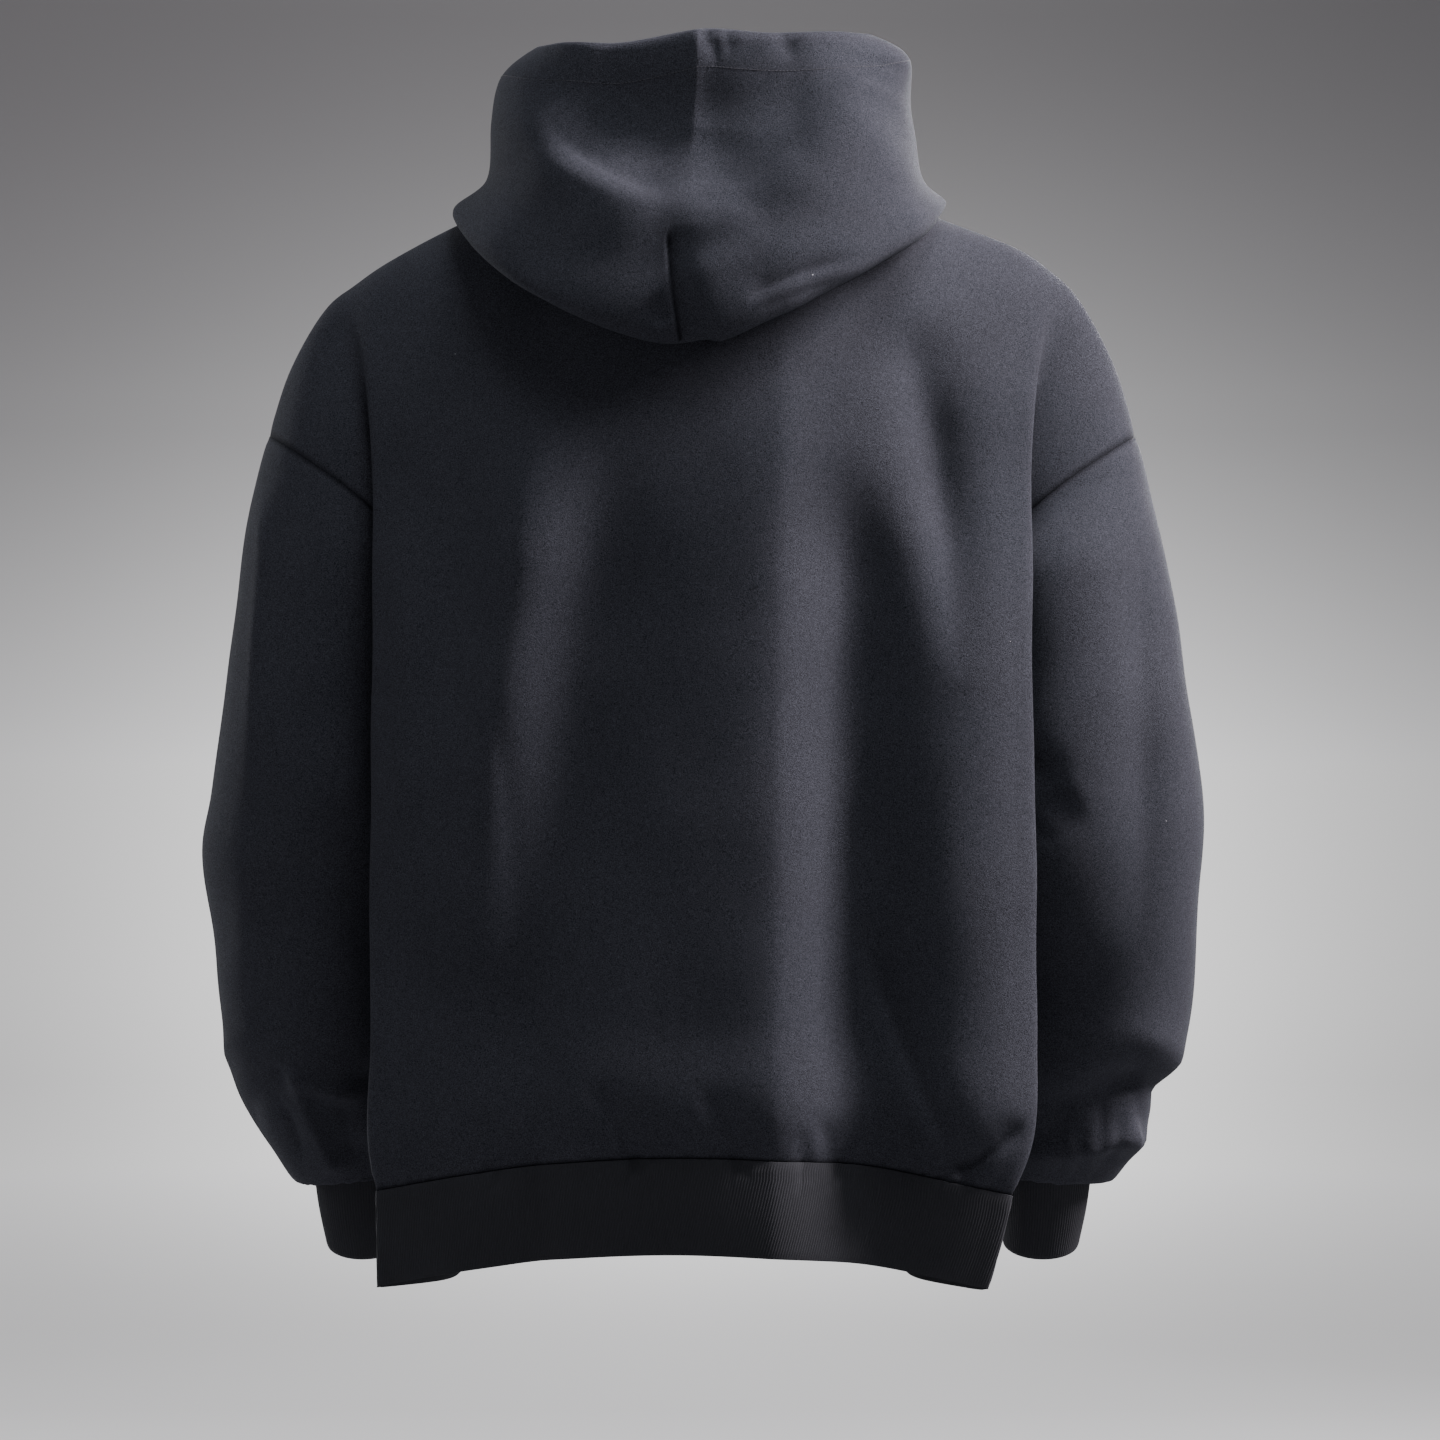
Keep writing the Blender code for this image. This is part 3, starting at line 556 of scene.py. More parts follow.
class Cloth:
    def __init__(self, name, node, grid, outward, wall, around=False):
        self.name, self.node, self.outward, self.around = name, node, outward, around
        self.grid = grid.copy()
        self.thickness = np.broadcast_to(np.asarray(wall, float), grid.shape[:1])
        self.normals = self.facing()
        self.down = lengthsAlong(grid, 0)
        self.fullAcross = lengthsAlong(closed(grid, around), 1)
        self.across = self.fullAcross[:, :grid.shape[1]]
        self.heights = np.zeros(grid.shape[:2])
        # painted shade along seams and the dart, 0 to 1, which darkens the colour
        self.paintedSeamShade = np.zeros(grid.shape[:2])

    def facing(self):
        # outward directions all over, as the outer face stands now
        along = slopeAlong(self.grid, 1, self.around)
        return self.outward * unit(np.cross(np.gradient(self.grid, axis=0), along))

    def fromEdge(self, edge):
        if edge == "top":
            return self.down
        if edge == "bottom":
            return self.down[-1:] - self.down
        return self.across if edge == "start" else self.across[:, -1:] - self.across

    def edgeSpots(self):
        rows, columns = self.grid.shape[:2]
        inEdge = np.zeros((rows, columns), bool)
        inEdge[[0, -1]] = True
        if not self.around:
            inEdge[:, [0, -1]] = True
        return inEdge

    def drawIn(self, distance):
        moves = np.zeros_like(self.grid)
        every = slice(None)
        pairs = [((0, every), (1, every)), ((-1, every), (-2, every))]
        if not self.around:
            pairs += [((every, 0), (every, 1)), ((every, -1), (every, -2))]
        for edge, beside in pairs:
            away = unit(np.cross(self.normals[edge], slopeAlong(self.grid[edge], 0, self.around)))
            inward = np.sign((away * (self.grid[beside] - self.grid[edge])).sum(axis=1, keepdims=True))
            moves[edge] += away * inward * distance
        self.grid += moves

    def innerFace(self, depth=0.0):
        return self.grid - self.normals * (self.thickness[:, None, None] + depth)


def shareSeams(cloths):
    # one direction for the thickness on both sides of a seam
    spots = [(c, index) for c in cloths for index in zip(*np.nonzero(c.edgeSpots()))]
    tree = KDTree(len(spots))
    for i, (c, index) in enumerate(spots):
        tree.insert(Vector(c.grid[index]), i)
    tree.balance()
    before = [c.normals[index].copy() for c, index in spots]
    for c, index in spots:
        near = [i for _, i, _ in tree.find_range(Vector(c.grid[index]), seams["meeting"])]
        c.normals[index] = unit(sum(before[i] for i in near))


def evenColumns(grid, count, around):
    # the same surface, with its columns evenly spaced along each row
    full = closed(grid, around)
    shares = np.arange(count if around else count + 1) / count
    rows = zip(full, lengthsAlong(full, 1))
    return np.array([readLine(row, lengths, shares * lengths[-1]) for row, lengths in rows])


def clothMesh(cloth, look, centreColumn=0):
    # a closed wall with rounded edges, and a UV map in metres along the cloth
    outer, inner = cloth.grid * mm, cloth.innerFace() * mm
    rows, columns = outer.shape[:2]
    shift = rows * columns
    index = closed(np.arange(shift).reshape(rows, columns), cloth.around)
    u = (cloth.fullAcross - cloth.fullAcross[:, centreColumn:centreColumn + 1]) * mm
    flat = np.stack([u, -closed(cloth.down, cloth.around) * mm], axis=-1)

    def quads(ids, uvs, flipped=False):
        corners = (slice(None, -1), slice(1, None))
        order = ((0, 0), (0, 1), (1, 1), (1, 0))[::-1 if flipped else 1]
        return (
            np.stack([ids[corners[a], corners[b]] for a, b in order], axis=-1).reshape(-1, 4),
            np.stack([uvs[corners[a], corners[b]] for a, b in order], axis=-2).reshape(-1, 4, 2),
        )

    lines = [(index[0], flat[0], True), (index[-1], flat[-1], False)]
    if not cloth.around:
        lines += [(index[:, 0], flat[:, 0], False), (index[:, -1], flat[:, -1], True)]
    found = [quads(index, flat), quads(index + shift, flat, True)]
    for ids, uvs, flipped in lines:
        found.append(quads(np.stack([ids, ids + shift]), np.stack([uvs, uvs]), flipped))
    faces, uvs = (np.concatenate(kind) for kind in zip(*found))
    if cloth.outward > 0:
        faces, uvs = faces[:, ::-1], uvs[:, ::-1]

    points = np.concatenate([outer.reshape(-1, 3), inner.reshape(-1, 3)])
    mesh = addMesh(cloth.name, points, faces.tolist(), look)
    mesh.uv_layers.new(name="cloth").data.foreach_set("uv", uvs.reshape(-1))
    rim = np.zeros(2 * shift, bool)
    rim[np.concatenate([np.concatenate([ids, ids + shift]) for ids, _, _ in lines])] = True
    ends = np.zeros(2 * len(mesh.edges), int)
    mesh.edges.foreach_get("vertices", ends)
    ends = ends.reshape(-1, 2)
    onRim = rim[ends].all(axis=1) & ((ends[:, 0] < shift) == (ends[:, 1] < shift))
    for name, place, values in (
        ("inside", "POINT", np.repeat([0.0, 1.0], shift)),
        # the painted seam shade goes on the outer face only
        ("paintedSeamShade", "POINT", np.concatenate([cloth.paintedSeamShade.reshape(-1), np.zeros(shift)])),
        ("bevel_weight_edge", "EDGE", onRim.astype(float)),
    ):
        mesh.attributes.new(name, "FLOAT", place).data.foreach_set("value", values)
    mesh.shade_smooth()
    made = addObject(cloth.name, mesh)
    edge = made.modifiers.new("soft edge", "BEVEL")
    edge.limit_method = "WEIGHT"
    edge.width = edgeRoundness * cloth.thickness[0] * mm
    edge.segments = 3
    applyAll(made)
    return made


# Folds and creases, listed by the side that they are seen from. Each runs from one point to
# another there, bowed by some millimetres. It is raised or sunk by its height and as wide as left
# and right say, sharper as its power falls from 2 to 1, and it fades in and out over shares of its
# length.
creaseColumns = ("a1", "z1", "a2", "z2", "bow", "left", "right", "height", "fadeIn", "fadeOut", "power")
sides = {"back": (0, 1, 1), "front": (0, 1, -1), "leftSide": (1, 0, 1), "rightSide": (1, 0, -1)}


def creaseHeights(points, creases, side):
    heights = np.zeros(points.shape[:-1])
    for row in creases.get(side, ()):
        crease = dict(zip(creaseColumns, row))
        start = np.array([crease["a1"], crease["z1"]], float)
        chord = np.array([crease["a2"], crease["z2"]], float) - start
        length = np.linalg.norm(chord)
        way = chord / length
        fromStart = points[..., (sides[side][0], 2)] - start
        t = fromStart @ way / length
        off = fromStart @ np.array([way[1], -way[0]]) - crease["bow"] * 4 * t * (1 - t)
        width = np.where(off < 0, crease["left"], crease["right"])
        across = np.exp(-np.abs(off / width) ** crease["power"])
        ends = smoothStep(0, crease["fadeIn"], t) * smoothStep(0, crease["fadeOut"], 1 - t)
        heights += crease["height"] * across * ends
    return heights


facingFade = (-0.1, 0.45)  # creases fade out where the cloth turns away from their side


def creaseAll(cloth, creases, top, bottom):
    # creases along the cloth's own directions, on whatever faces the side that they are seen from
    for side, (_, facing, sign) in sides.items():
        heights = creaseHeights(cloth.grid, creases, side)
        heights *= smoothStep(*facingFade, cloth.normals[..., facing] * sign)
        fades = smoothStep(0, top, cloth.fromEdge("top"))
        heights *= fades * smoothStep(0, bottom, cloth.fromEdge("bottom"))
        cloth.heights = cloth.heights + heights


def unevenness(points, shortest, longest, count, seed):
    # a soft random height with waves of several lengths and directions
    draw = np.random.default_rng(seed)
    total = np.zeros(points.shape[:-1])
    for _ in range(count):
        wave = unit(draw.normal(size=3)) * 2 * math.pi / draw.uniform(shortest, longest)
        total += np.sin(points @ wave + draw.uniform(0, 2 * math.pi))
    return total * (2 / count) ** 0.5


# Ripples run away from a seam and stand highest a little way from it. Their places and heights
# vary over lengths from one size to another, and hold on for longer up and down.
rippling = {
    "highest": 5, "waves": 8, "places": (40, 90), "sway": 0.9,
    "heights": (30, 80), "share": 0.45, "stretch": (1, 1, 0.3),
}


def puckers(cloth, edge, pitch, height, reach, seed):
    away = cloth.fromEdge(edge)
    line = cloth.across if edge in ("top", "bottom") else cloth.down
    count, share, highest = rippling["waves"], rippling["share"], rippling["highest"]
    shift = unevenness(cloth.grid, *rippling["places"], count, seed)
    phase = line / pitch + rippling["sway"] * shift
    varied = unevenness(cloth.grid * rippling["stretch"], *rippling["heights"], count, seed + 1)
    some = 1 - share + share * varied
    shape = (away / highest) * np.exp(1 - away / highest) * np.exp(-((away / reach) ** 2))
    return height * np.sin(2 * math.pi * phase) * some * shape


# Materials
def newGroup(name, inputs, outputs):
    group = bpy.data.node_groups.new(name, "ShaderNodeTree")
    for label, kind, value in inputs:
        made = group.interface.new_socket(name=label, in_out="INPUT", socket_type="NodeSocket" + kind)
        if value is not None:
            made.default_value = value
    for label, kind in outputs:
        group.interface.new_socket(name=label, in_out="OUTPUT", socket_type="NodeSocket" + kind)
    return group, group.nodes.new("NodeGroupInput").outputs, group.nodes.new("NodeGroupOutput")


def feed(tree, target, links):
    # a node's inputs, each from a socket or a plain value
    for name, source in links.items():
        if hasattr(source, "is_output"):
            tree.links.new(source, target.inputs[name])
        else:
            target.inputs[name].default_value = source


def node(tree, kind, links=(), **values):
    added = tree.nodes.new("ShaderNode" + kind)
    for key, value in values.items():
        setattr(added, key, value)
    feed(tree, added, dict(links))
    return added.outputs


def maths(tree, operation, a, b=0.0, clamp=False):
    return node(tree, "Math", {0: a, 1: b}, operation=operation, use_clamp=clamp)[0]


def times(tree, *values):
    return reduce(lambda a, b: maths(tree, "MULTIPLY", a, b), values)


def plus(tree, a, b, clamp=False):
    return maths(tree, "ADD", a, b, clamp)


def ramp(tree, value, low, high, first=0.0, last=1.0):
    links = {"Value": value, "From Min": low, "From Max": high, "To Min": first, "To Max": last}
    return node(tree, "MapRange", links, clamp=True)["Result"]


def blend(tree, share, first, second):
    return node(tree, "Mix", {"Factor": share, "A": first, "B": second}, data_type="RGBA")["Result"]


def scaled(tree, colour, strength):
    return node(tree, "VectorMath", {0: colour, "Scale": strength}, operation="SCALE")["Vector"]


def noise(tree, vector, scale, detail, roughness=0.5):
    links = {"Vector": vector, "Scale": scale, "Detail": detail, "Roughness": roughness}
    return node(tree, "TexNoise", links)["Fac"]


def bump(tree, height, strength, distance, **under):
    links = {"Strength": strength, "Distance": distance, "Height": height, **under}
    return node(tree, "Bump", links)["Normal"]


def attribute(tree, name):
    return node(tree, "Attribute", attribute_name=name)["Fac"]


def knitGroup():
    # fine columns of knit loops along V, with legs that slant to both sides
    inputs = [("Vector", "Vector", None), ("Pitch", "Float", 0.0011)]
    group, given, result = newGroup("fine knit", inputs, [("Height", "Float")])
    split = node(group, "SeparateXYZ", {0: given["Vector"]})
    across = maths(group, "DIVIDE", split["X"], given["Pitch"])
    along = maths(group, "DIVIDE", split["Y"], given["Pitch"])
    column = maths(group, "PINGPONG", across, 0.5)
    legs = plus(group, times(group, column, 1.7), times(group, along, 1.25))
    wave = maths(group, "SINE", times(group, legs, 2 * math.pi))
    rounded = maths(group, "SINE", times(group, column, 2 * math.pi))
    feed(group, result, {"Height": plus(group, times(group, wave, 0.3), times(group, rounded, 0.7))})
    return group


def napGroup():
    # the brushed surface: fibre speckle, broad mottling and a few specks of lint
    inputs = [
        ("Vector", "Vector", None), ("Colour", "Color", (0.02, 0.02, 0.025, 1)),
        ("Speckle", "Float", 0.3), ("Lint", "Float", 1.0),
    ]
    outputs = [("Colour", "Color"), ("Height", "Float"), ("Roughness", "Float")]
    group, given, result = newGroup("brushed nap", inputs, outputs)
    vector = given["Vector"]
    fibres = ramp(group, noise(group, vector, 1400, 3, 0.7), 0.3, 0.7)
    height = plus(group, times(group, fibres, 0.88), times(group, noise(group, vector, 260, 2), 0.12))
    swing = times(group, maths(group, "SUBTRACT", height, 0.5), given["Speckle"])
    broad = ramp(group, noise(group, vector, 14, 3, 0.55), 0.3, 0.7, 0.93, 1.07)
    strength = times(group, plus(group, times(group, swing, 2), 1.0), broad)
    cells = node(group, "TexVoronoi", {"Vector": vector, "Scale": 30})
    here = ramp(group, cells["Distance"], 0.010, 0.016, 1.0, 0.0)
    drawn = node(group, "SeparateColor", {"Color": cells["Color"]})["Red"]
    few = maths(group, "GREATER_THAN", drawn, 0.72)
    lint = times(group, here, few, given["Lint"])
    feed(group, result, {
        "Colour": blend(group, lint, scaled(group, given["Colour"], strength), (0.2, 0.2, 0.21, 1)),
        "Height": height,
        "Roughness": ramp(group, height, 0.2, 0.8, 0.98, 0.82),
    })
    return group


def grainGroup():
    # fine uneven grain on hard pieces, with small scratches
    inputs = [("Vector", "Vector", None), ("Scale", "Float", 900.0)]
    group, given, result = newGroup("hard grain", inputs, [("Grain", "Float"), ("Scratches", "Float")])
    along = {0: given["Vector"], 1: (1, 0.12, 0.18)}
    stretched = node(group, "VectorMath", along, operation="MULTIPLY")
    feed(group, result, {
        "Grain": noise(group, given["Vector"], given["Scale"], 4, 0.6),
        "Scratches": ramp(group, noise(group, stretched["Vector"], 2600, 2), 0.62, 0.72),
    })
    return group


def surface(name):
    look = bpy.data.materials.new(name)
    look.use_nodes = True
    return look, look.node_tree, look.node_tree.nodes["Principled BSDF"]


def useGroup(tree, group, **inputs):
    added = tree.nodes.new("ShaderNodeGroup")
    added.node_tree = group
    feed(tree, added, inputs)
    return added.outputs


# Brushed cloth: the fleece shows its knit, and has painted shade in its seams and in its dart's fold
clothLooks = {
    "blackFleece": {
        "colour": (0.0185, 0.0195, 0.0245, 1), "inside": (0.020, 0.021, 0.025, 1),
        # the seam colour is painted shade, blended in along the seams and the dart's fold
        "seam": (0.003, 0.003, 0.004, 1), "speckle": 0.95, "specular": 0.03,
        "knitBump": (0.6, 0.00016), "napBump": (0.8, 0.00020),
        "sheen": 0.01, "sheenRoughness": 0.5, "sheenTint": (0.62, 0.66, 0.85, 1),
    },
    "blackRib": {
        "colour": (0.0125, 0.013, 0.0155, 1), "speckle": 0.3, "specular": 0.08,
        "napBump": (0.7, 0.00006),
        "sheen": 0.02, "sheenRoughness": 0.5, "sheenTint": (0.7, 0.72, 0.8, 1),
    },
}


def clothMaterial(name):
    look, tree, skin = surface(name)
    values = clothLooks[name]
    colour, under = values["colour"], {}
    if "knitBump" in values:
        colour = blend(tree, attribute(tree, "inside"), colour, values["inside"])
        # painted shade along the seams and the dart
        colour = blend(tree, attribute(tree, "paintedSeamShade"), colour, values["seam"])
        knitted = useGroup(tree, knit, Vector=node(tree, "UVMap", uv_map="cloth")["UV"])
        under["Normal"] = bump(tree, knitted["Height"], *values["knitBump"])
    place = node(tree, "TexCoord")["Object"]
    brushed = useGroup(tree, nap, Vector=place, Colour=colour, Speckle=values["speckle"])
    feed(tree, skin, {
        "Normal": bump(tree, brushed["Height"], *values["napBump"], **under),
        "Base Color": brushed["Colour"], "Roughness": brushed["Roughness"],
        "Specular IOR Level": values["specular"], "Sheen Weight": values["sheen"],
        "Sheen Roughness": values["sheenRoughness"], "Sheen Tint": values["sheenTint"],
    })
    return look


tapeLook = {
    "colour": (0.012, 0.012, 0.014), "weft": 0.0008, "warp": 0.0011, "bones": 0.0028, "slant": 0.8,
    "bump": (0.8, 0.00012), "shades": (0.55, 1.3), "roughness": (0.85, 0.62), "specular": 0.3,
}


def tapeMaterial():
    # a tight herringbone weave
    look, tree, skin = surface("wovenTape")
    split = node(tree, "SeparateXYZ", {0: node(tree, "UVMap", uv_map="cloth")["UV"]})
    slant = maths(tree, "PINGPONG", split["X"], tapeLook["bones"])
    along = plus(tree, split["Y"], times(tree, slant, tapeLook["slant"]))
    weft = maths(tree, "SINE", times(tree, along, 2 * math.pi / tapeLook["weft"]))
    warp = maths(tree, "SINE", times(tree, split["X"], 2 * math.pi / tapeLook["warp"]))
    height = plus(tree, times(tree, weft, 0.6), times(tree, warp, 0.4))
    shade = ramp(tree, height, -1.0, 1.0, *tapeLook["shades"])
    feed(tree, skin, {
        "Normal": bump(tree, height, *tapeLook["bump"]),
        "Base Color": scaled(tree, tapeLook["colour"], shade),
        "Roughness": ramp(tree, height, -1.0, 1.0, *tapeLook["roughness"]),
        "Specular IOR Level": tapeLook["specular"],
    })
    return look


hardColumns = ("low", "high", "metallic", "smooth", "rough", "depth", "scale", "specular")
hardLooks = {
    "gunmetal": (
        (0.055, 0.056, 0.060, 1), (0.16, 0.16, 0.165, 1), 1, 0.24, 0.42, 0.00003, 700, 0.5,
    ),
    "toothPlastic": (
        (0.008, 0.008, 0.009, 1), (0.016, 0.016, 0.018, 1), 0, 0.30, 0.48, 0.00003, 1200, 0.5,
    ),
    "thread": (
        (0.014, 0.014, 0.017, 1), (0.046, 0.046, 0.054, 1), 0, 0.5, 0.7, 0.00006, 2500, 0.1,
    ),
}


def hardMaterial(name):
    look, tree, skin = surface(name)
    values = dict(zip(hardColumns, hardLooks[name]))
    worn = useGroup(tree, grain, Scale=values["scale"], Vector=node(tree, "TexCoord")["Object"])
    share = plus(tree, times(tree, worn["Grain"], 0.7), times(tree, worn["Scratches"], 0.5), clamp=True)
    feed(tree, skin, {
        "Base Color": blend(tree, share, values["low"], values["high"]),
        "Roughness": ramp(tree, worn["Grain"], 0.3, 0.7, values["smooth"], values["rough"]),
        "Normal": bump(tree, worn["Grain"], 0.5, values["depth"]),
        "Metallic": values["metallic"], "Specular IOR Level": values["specular"],
    })
    return look


knit, nap, grain = knitGroup(), napGroup(), grainGroup()
fleece, rib = (clothMaterial(name) for name in clothLooks)
wovenTape = tapeMaterial()
gunmetal, toothPlastic, thread = (hardMaterial(name) for name in hardLooks)
print("materials ready")


# Body folds, which stand out level from the body so that the hem band can share them
foldCalm = {"top": 40, "zip": (3, 40), "side": (6, 8), "sideColumns": 2}  # where they die away
bodyCreases = {
    "back": (
        # the long soft folds of the back
        (-51, -60, -43, -830, 0, 80, 28, 10, 0.16, 0.2, 1.6),
        (-94, -172, -113, -830, -2, 30, 36, -18, 0.14, 0.3, 2),
        (-206, -170, -206, -830, 0, 60, 62, 26, 0.25, 0.3, 2),
        (-148, -120, -170, -335, 0, 13, 20, -5, 0.25, 0.3, 1.8),
        (-137, -84, -182, -300, -9, 20, 24, -10, 0.2, 0.5, 1.7),
        (94, -100, 172, -640, -6, 34, 42, 20, 0.3, 0.5, 1.8),
        (44, -120, 112, -560, -5, 26, 44, -7, 0.35, 0.45, 1.9),
        (192, -180, 198, -560, 0, 24, 22, 16, 0.3, 0.5, 2),
        (118, -440, 98, -830, 0, 22, 16, -6, 0.3, 0.24, 1.8),
        # creases
        (134, -335, 118, -520, 3, 7, 16, -1.6, 0.3, 0.5, 1.6),
        (-99, -480, -170, -650, -5, 5, 15, -6, 0.35, 0.02, 1.2),
        (76, -585, 42, -650, 3, 5, 12, -3.6, 0.4, 0.02, 1.3),
        (4, -588, -24, -650, 3, 4, 12, -3.2, 0.4, 0.02, 1.3),
        (-166, -656, -214, -616, 2, 5, 10, -5.5, 0.1, 0.3, 1.3),
        (-72, -606, -88, -656, 2, 4, 8, -3.2, 0.4, 0.02, 1.4),
        (-64, -616, -66, -654, 0, 4, 6, -2.4, 0.4, 0.02, 1.4),
        (-140, -632, -160, -654, 1, 4, 7, -2.6, 0.4, 0.02, 1.4),
        (150, -600, 132, -660, 2, 5, 9, -2.2, 0.4, 0.02, 1.4),
    ),
    "front": (
        (95, -190, 105, -700, 5, 40, 44, 8, 0.3, 0.3, 2),
        (-100, -180, -96, -700, -5, 46, 38, 8, 0.3, 0.3, 2),
        (52, -260, 50, -720, 3, 24, 22, -5, 0.4, 0.2, 1.8),
        (-50, -330, -54, -720, 3, 20, 26, -5, 0.4, 0.2, 1.8),
        (160, -300, 150, -720, 4, 24, 26, -5, 0.4, 0.3, 1.8),
        (-155, -260, -158, -720, 4, 26, 24, -5, 0.4, 0.3, 1.8),
        (128, -120, 60, -250, -10, 14, 22, -3.5, 0.3, 0.4, 1.6),
        (-126, -118, -66, -240, 10, 22, 14, -3.5, 0.3, 0.4, 1.6),
        (70, -590, 38, -650, 3, 6, 12, -2.2, 0.4, 0.05, 1.4),
        (-92, -580, -64, -650, 3, 6, 12, -2.2, 0.4, 0.05, 1.4),
    ),
}


def foldMoves(rows, columns, front, fromTop):
    # the folds of one half of the body or of its band, which end before the side seams and the zip
    heights = creaseHeights(rows, bodyCreases, "front" if front else "back")
    stations = np.cumsum(columns)
    first, last = (stations[k] for k in foldCalm["side"])
    heights *= 1 - smoothStep(first, last - foldCalm["sideColumns"], np.arange(rows.shape[1]))
    if fromTop:
        heights *= smoothStep(0, foldCalm["top"], lengthsAlong(rows, 0))
    if front:
        heights *= smoothStep(*foldCalm["zip"], lengthsAlong(rows, 1))
    return heights[..., None] * np.array([0, -1.0 if front else 1.0, 0])


# Soft waves of each kind of piece: their height and lengths, how far from its edges they reach
# their height, and the ripples at its bottom by pitch, height and reach
waveColumns = ("height", "lengths", "edges", "ripples")
waves = {
    "body": (0.45, (60, 150), {"bottom": 24, "top": 40}, (17, 0.9, 34)),
    "hood": (0.5, (30, 90), {"top": 120}, None),
    "sleeve": (0.6, (50, 130), {"top": 24, "bottom": 16}, (13, 1.3, 30)),
}
waveCount, waveZipEdge = 14, (4, 40)
# How far from the top and the bottom creases reach their height. The hood's rolled layers next to
# the neck seam stay clear of each other.
creaseEdges = {"hood": (120, 4), "sleeve": (20, 10)}


def wavy(part, kind, seed, rippleSeed=None, zipEdge=False):
    values = dict(zip(waveColumns, waves[kind]))
    reached = 1.0
    for edge, distance in values["edges"].items():
        reached = reached * smoothStep(0, distance, part.fromEdge(edge))
    heights = values["height"] * unevenness(part.grid, *values["lengths"], waveCount, seed) * reached
    if zipEdge:
        heights = heights * smoothStep(*waveZipEdge, part.fromEdge("start"))
    part.heights = part.heights + heights
    if rippleSeed:
        part.heights = part.heights + puckers(part, "bottom", *values["ripples"], rippleSeed)


# Hood and sleeve creases
dart = (21, -44, 13, -117, -1.5, 0.8, 11, -4.2, 0.06, 0.1, 1.2)
# painted shade along the dart's fold: how wide on each side, how strong, its fades and its power
dartShadeLine = (0.9, 1.6, 0.9, 0.05, 0.05, 2)  # the dark line in its fold
hoodCreases = {
    "back": (
        # the thrown-back basin, with a soft ridge down its middle and the long curved ridge below it
        (3, 104, 7, -12, 0, 22, 52, 15, 0.1, 0.3, 1.6),
        (112, 84, -112, 84, 0, 66, 14, 8, 0.2, 0.2, 1.8),
        (104, 40, 8, -17, -10, 9, 44, -6, 0.35, 0.3, 1.7),
        (-136, 84, -22, -16, 0, 20, 20, 12, 0.02, 0.97, 1.8),
        (118, 20, 4, -31, -10, 20, 10, 3, 0.35, 0.3, 1.5),
        (30, -26, -46, -33, -3, 26, 10, 2.6, 0.35, 0.4, 1.5),
        (-30, -30, -116, 54, -9, 24, 20, 8, 0.35, 0.3, 1.9),
        # the rim's small wrinkles
        (4, 92, -16, 70, 2, 5, 6, -3.2, 0.25, 0.35, 1.6),
        (-14, 90, -24, 76, 1, 4, 4, -2.2, 0.3, 0.35, 1.6),
        (-44, 88, -60, 72, 2, 6, 7, -3.0, 0.25, 0.35, 1.7),
        (-112, 78, -106, 50, 4, 14, 14, -3.0, 0.3, 0.4, 2),
        # the dart, and the crease beside it
        dart,
        (34, -84, 20, -104, -2, 12, 9, -3, 0.4, 0.3, 1.7),
        (6, -52, -16, -122, 0, 9, 40, 6, 0.3, 0.1, 1.7),
        (-26, -88, -112, -56, 3, 3, 7, -3.6, 0.2, 0.5, 1.4),
        (-30, -98, -104, -70, 2, 5, 4, -2, 0.3, 0.5, 1.4),
    ),
    "front": (
        (70, -16, 104, 40, 6, 9, 12, -3, 0.3, 0.3, 1.7),
        (-66, -18, -102, 36, -6, 12, 9, -3, 0.3, 0.3, 1.7),
    ),
    "leftSide": (
        (40, 60, -40, 30, 5, 14, 16, -3, 0.3, 0.3, 1.8),
    ),
    "rightSide": (
        (40, 55, -50, 34, -5, 14, 16, -3, 0.3, 0.3, 1.8),
    ),
}
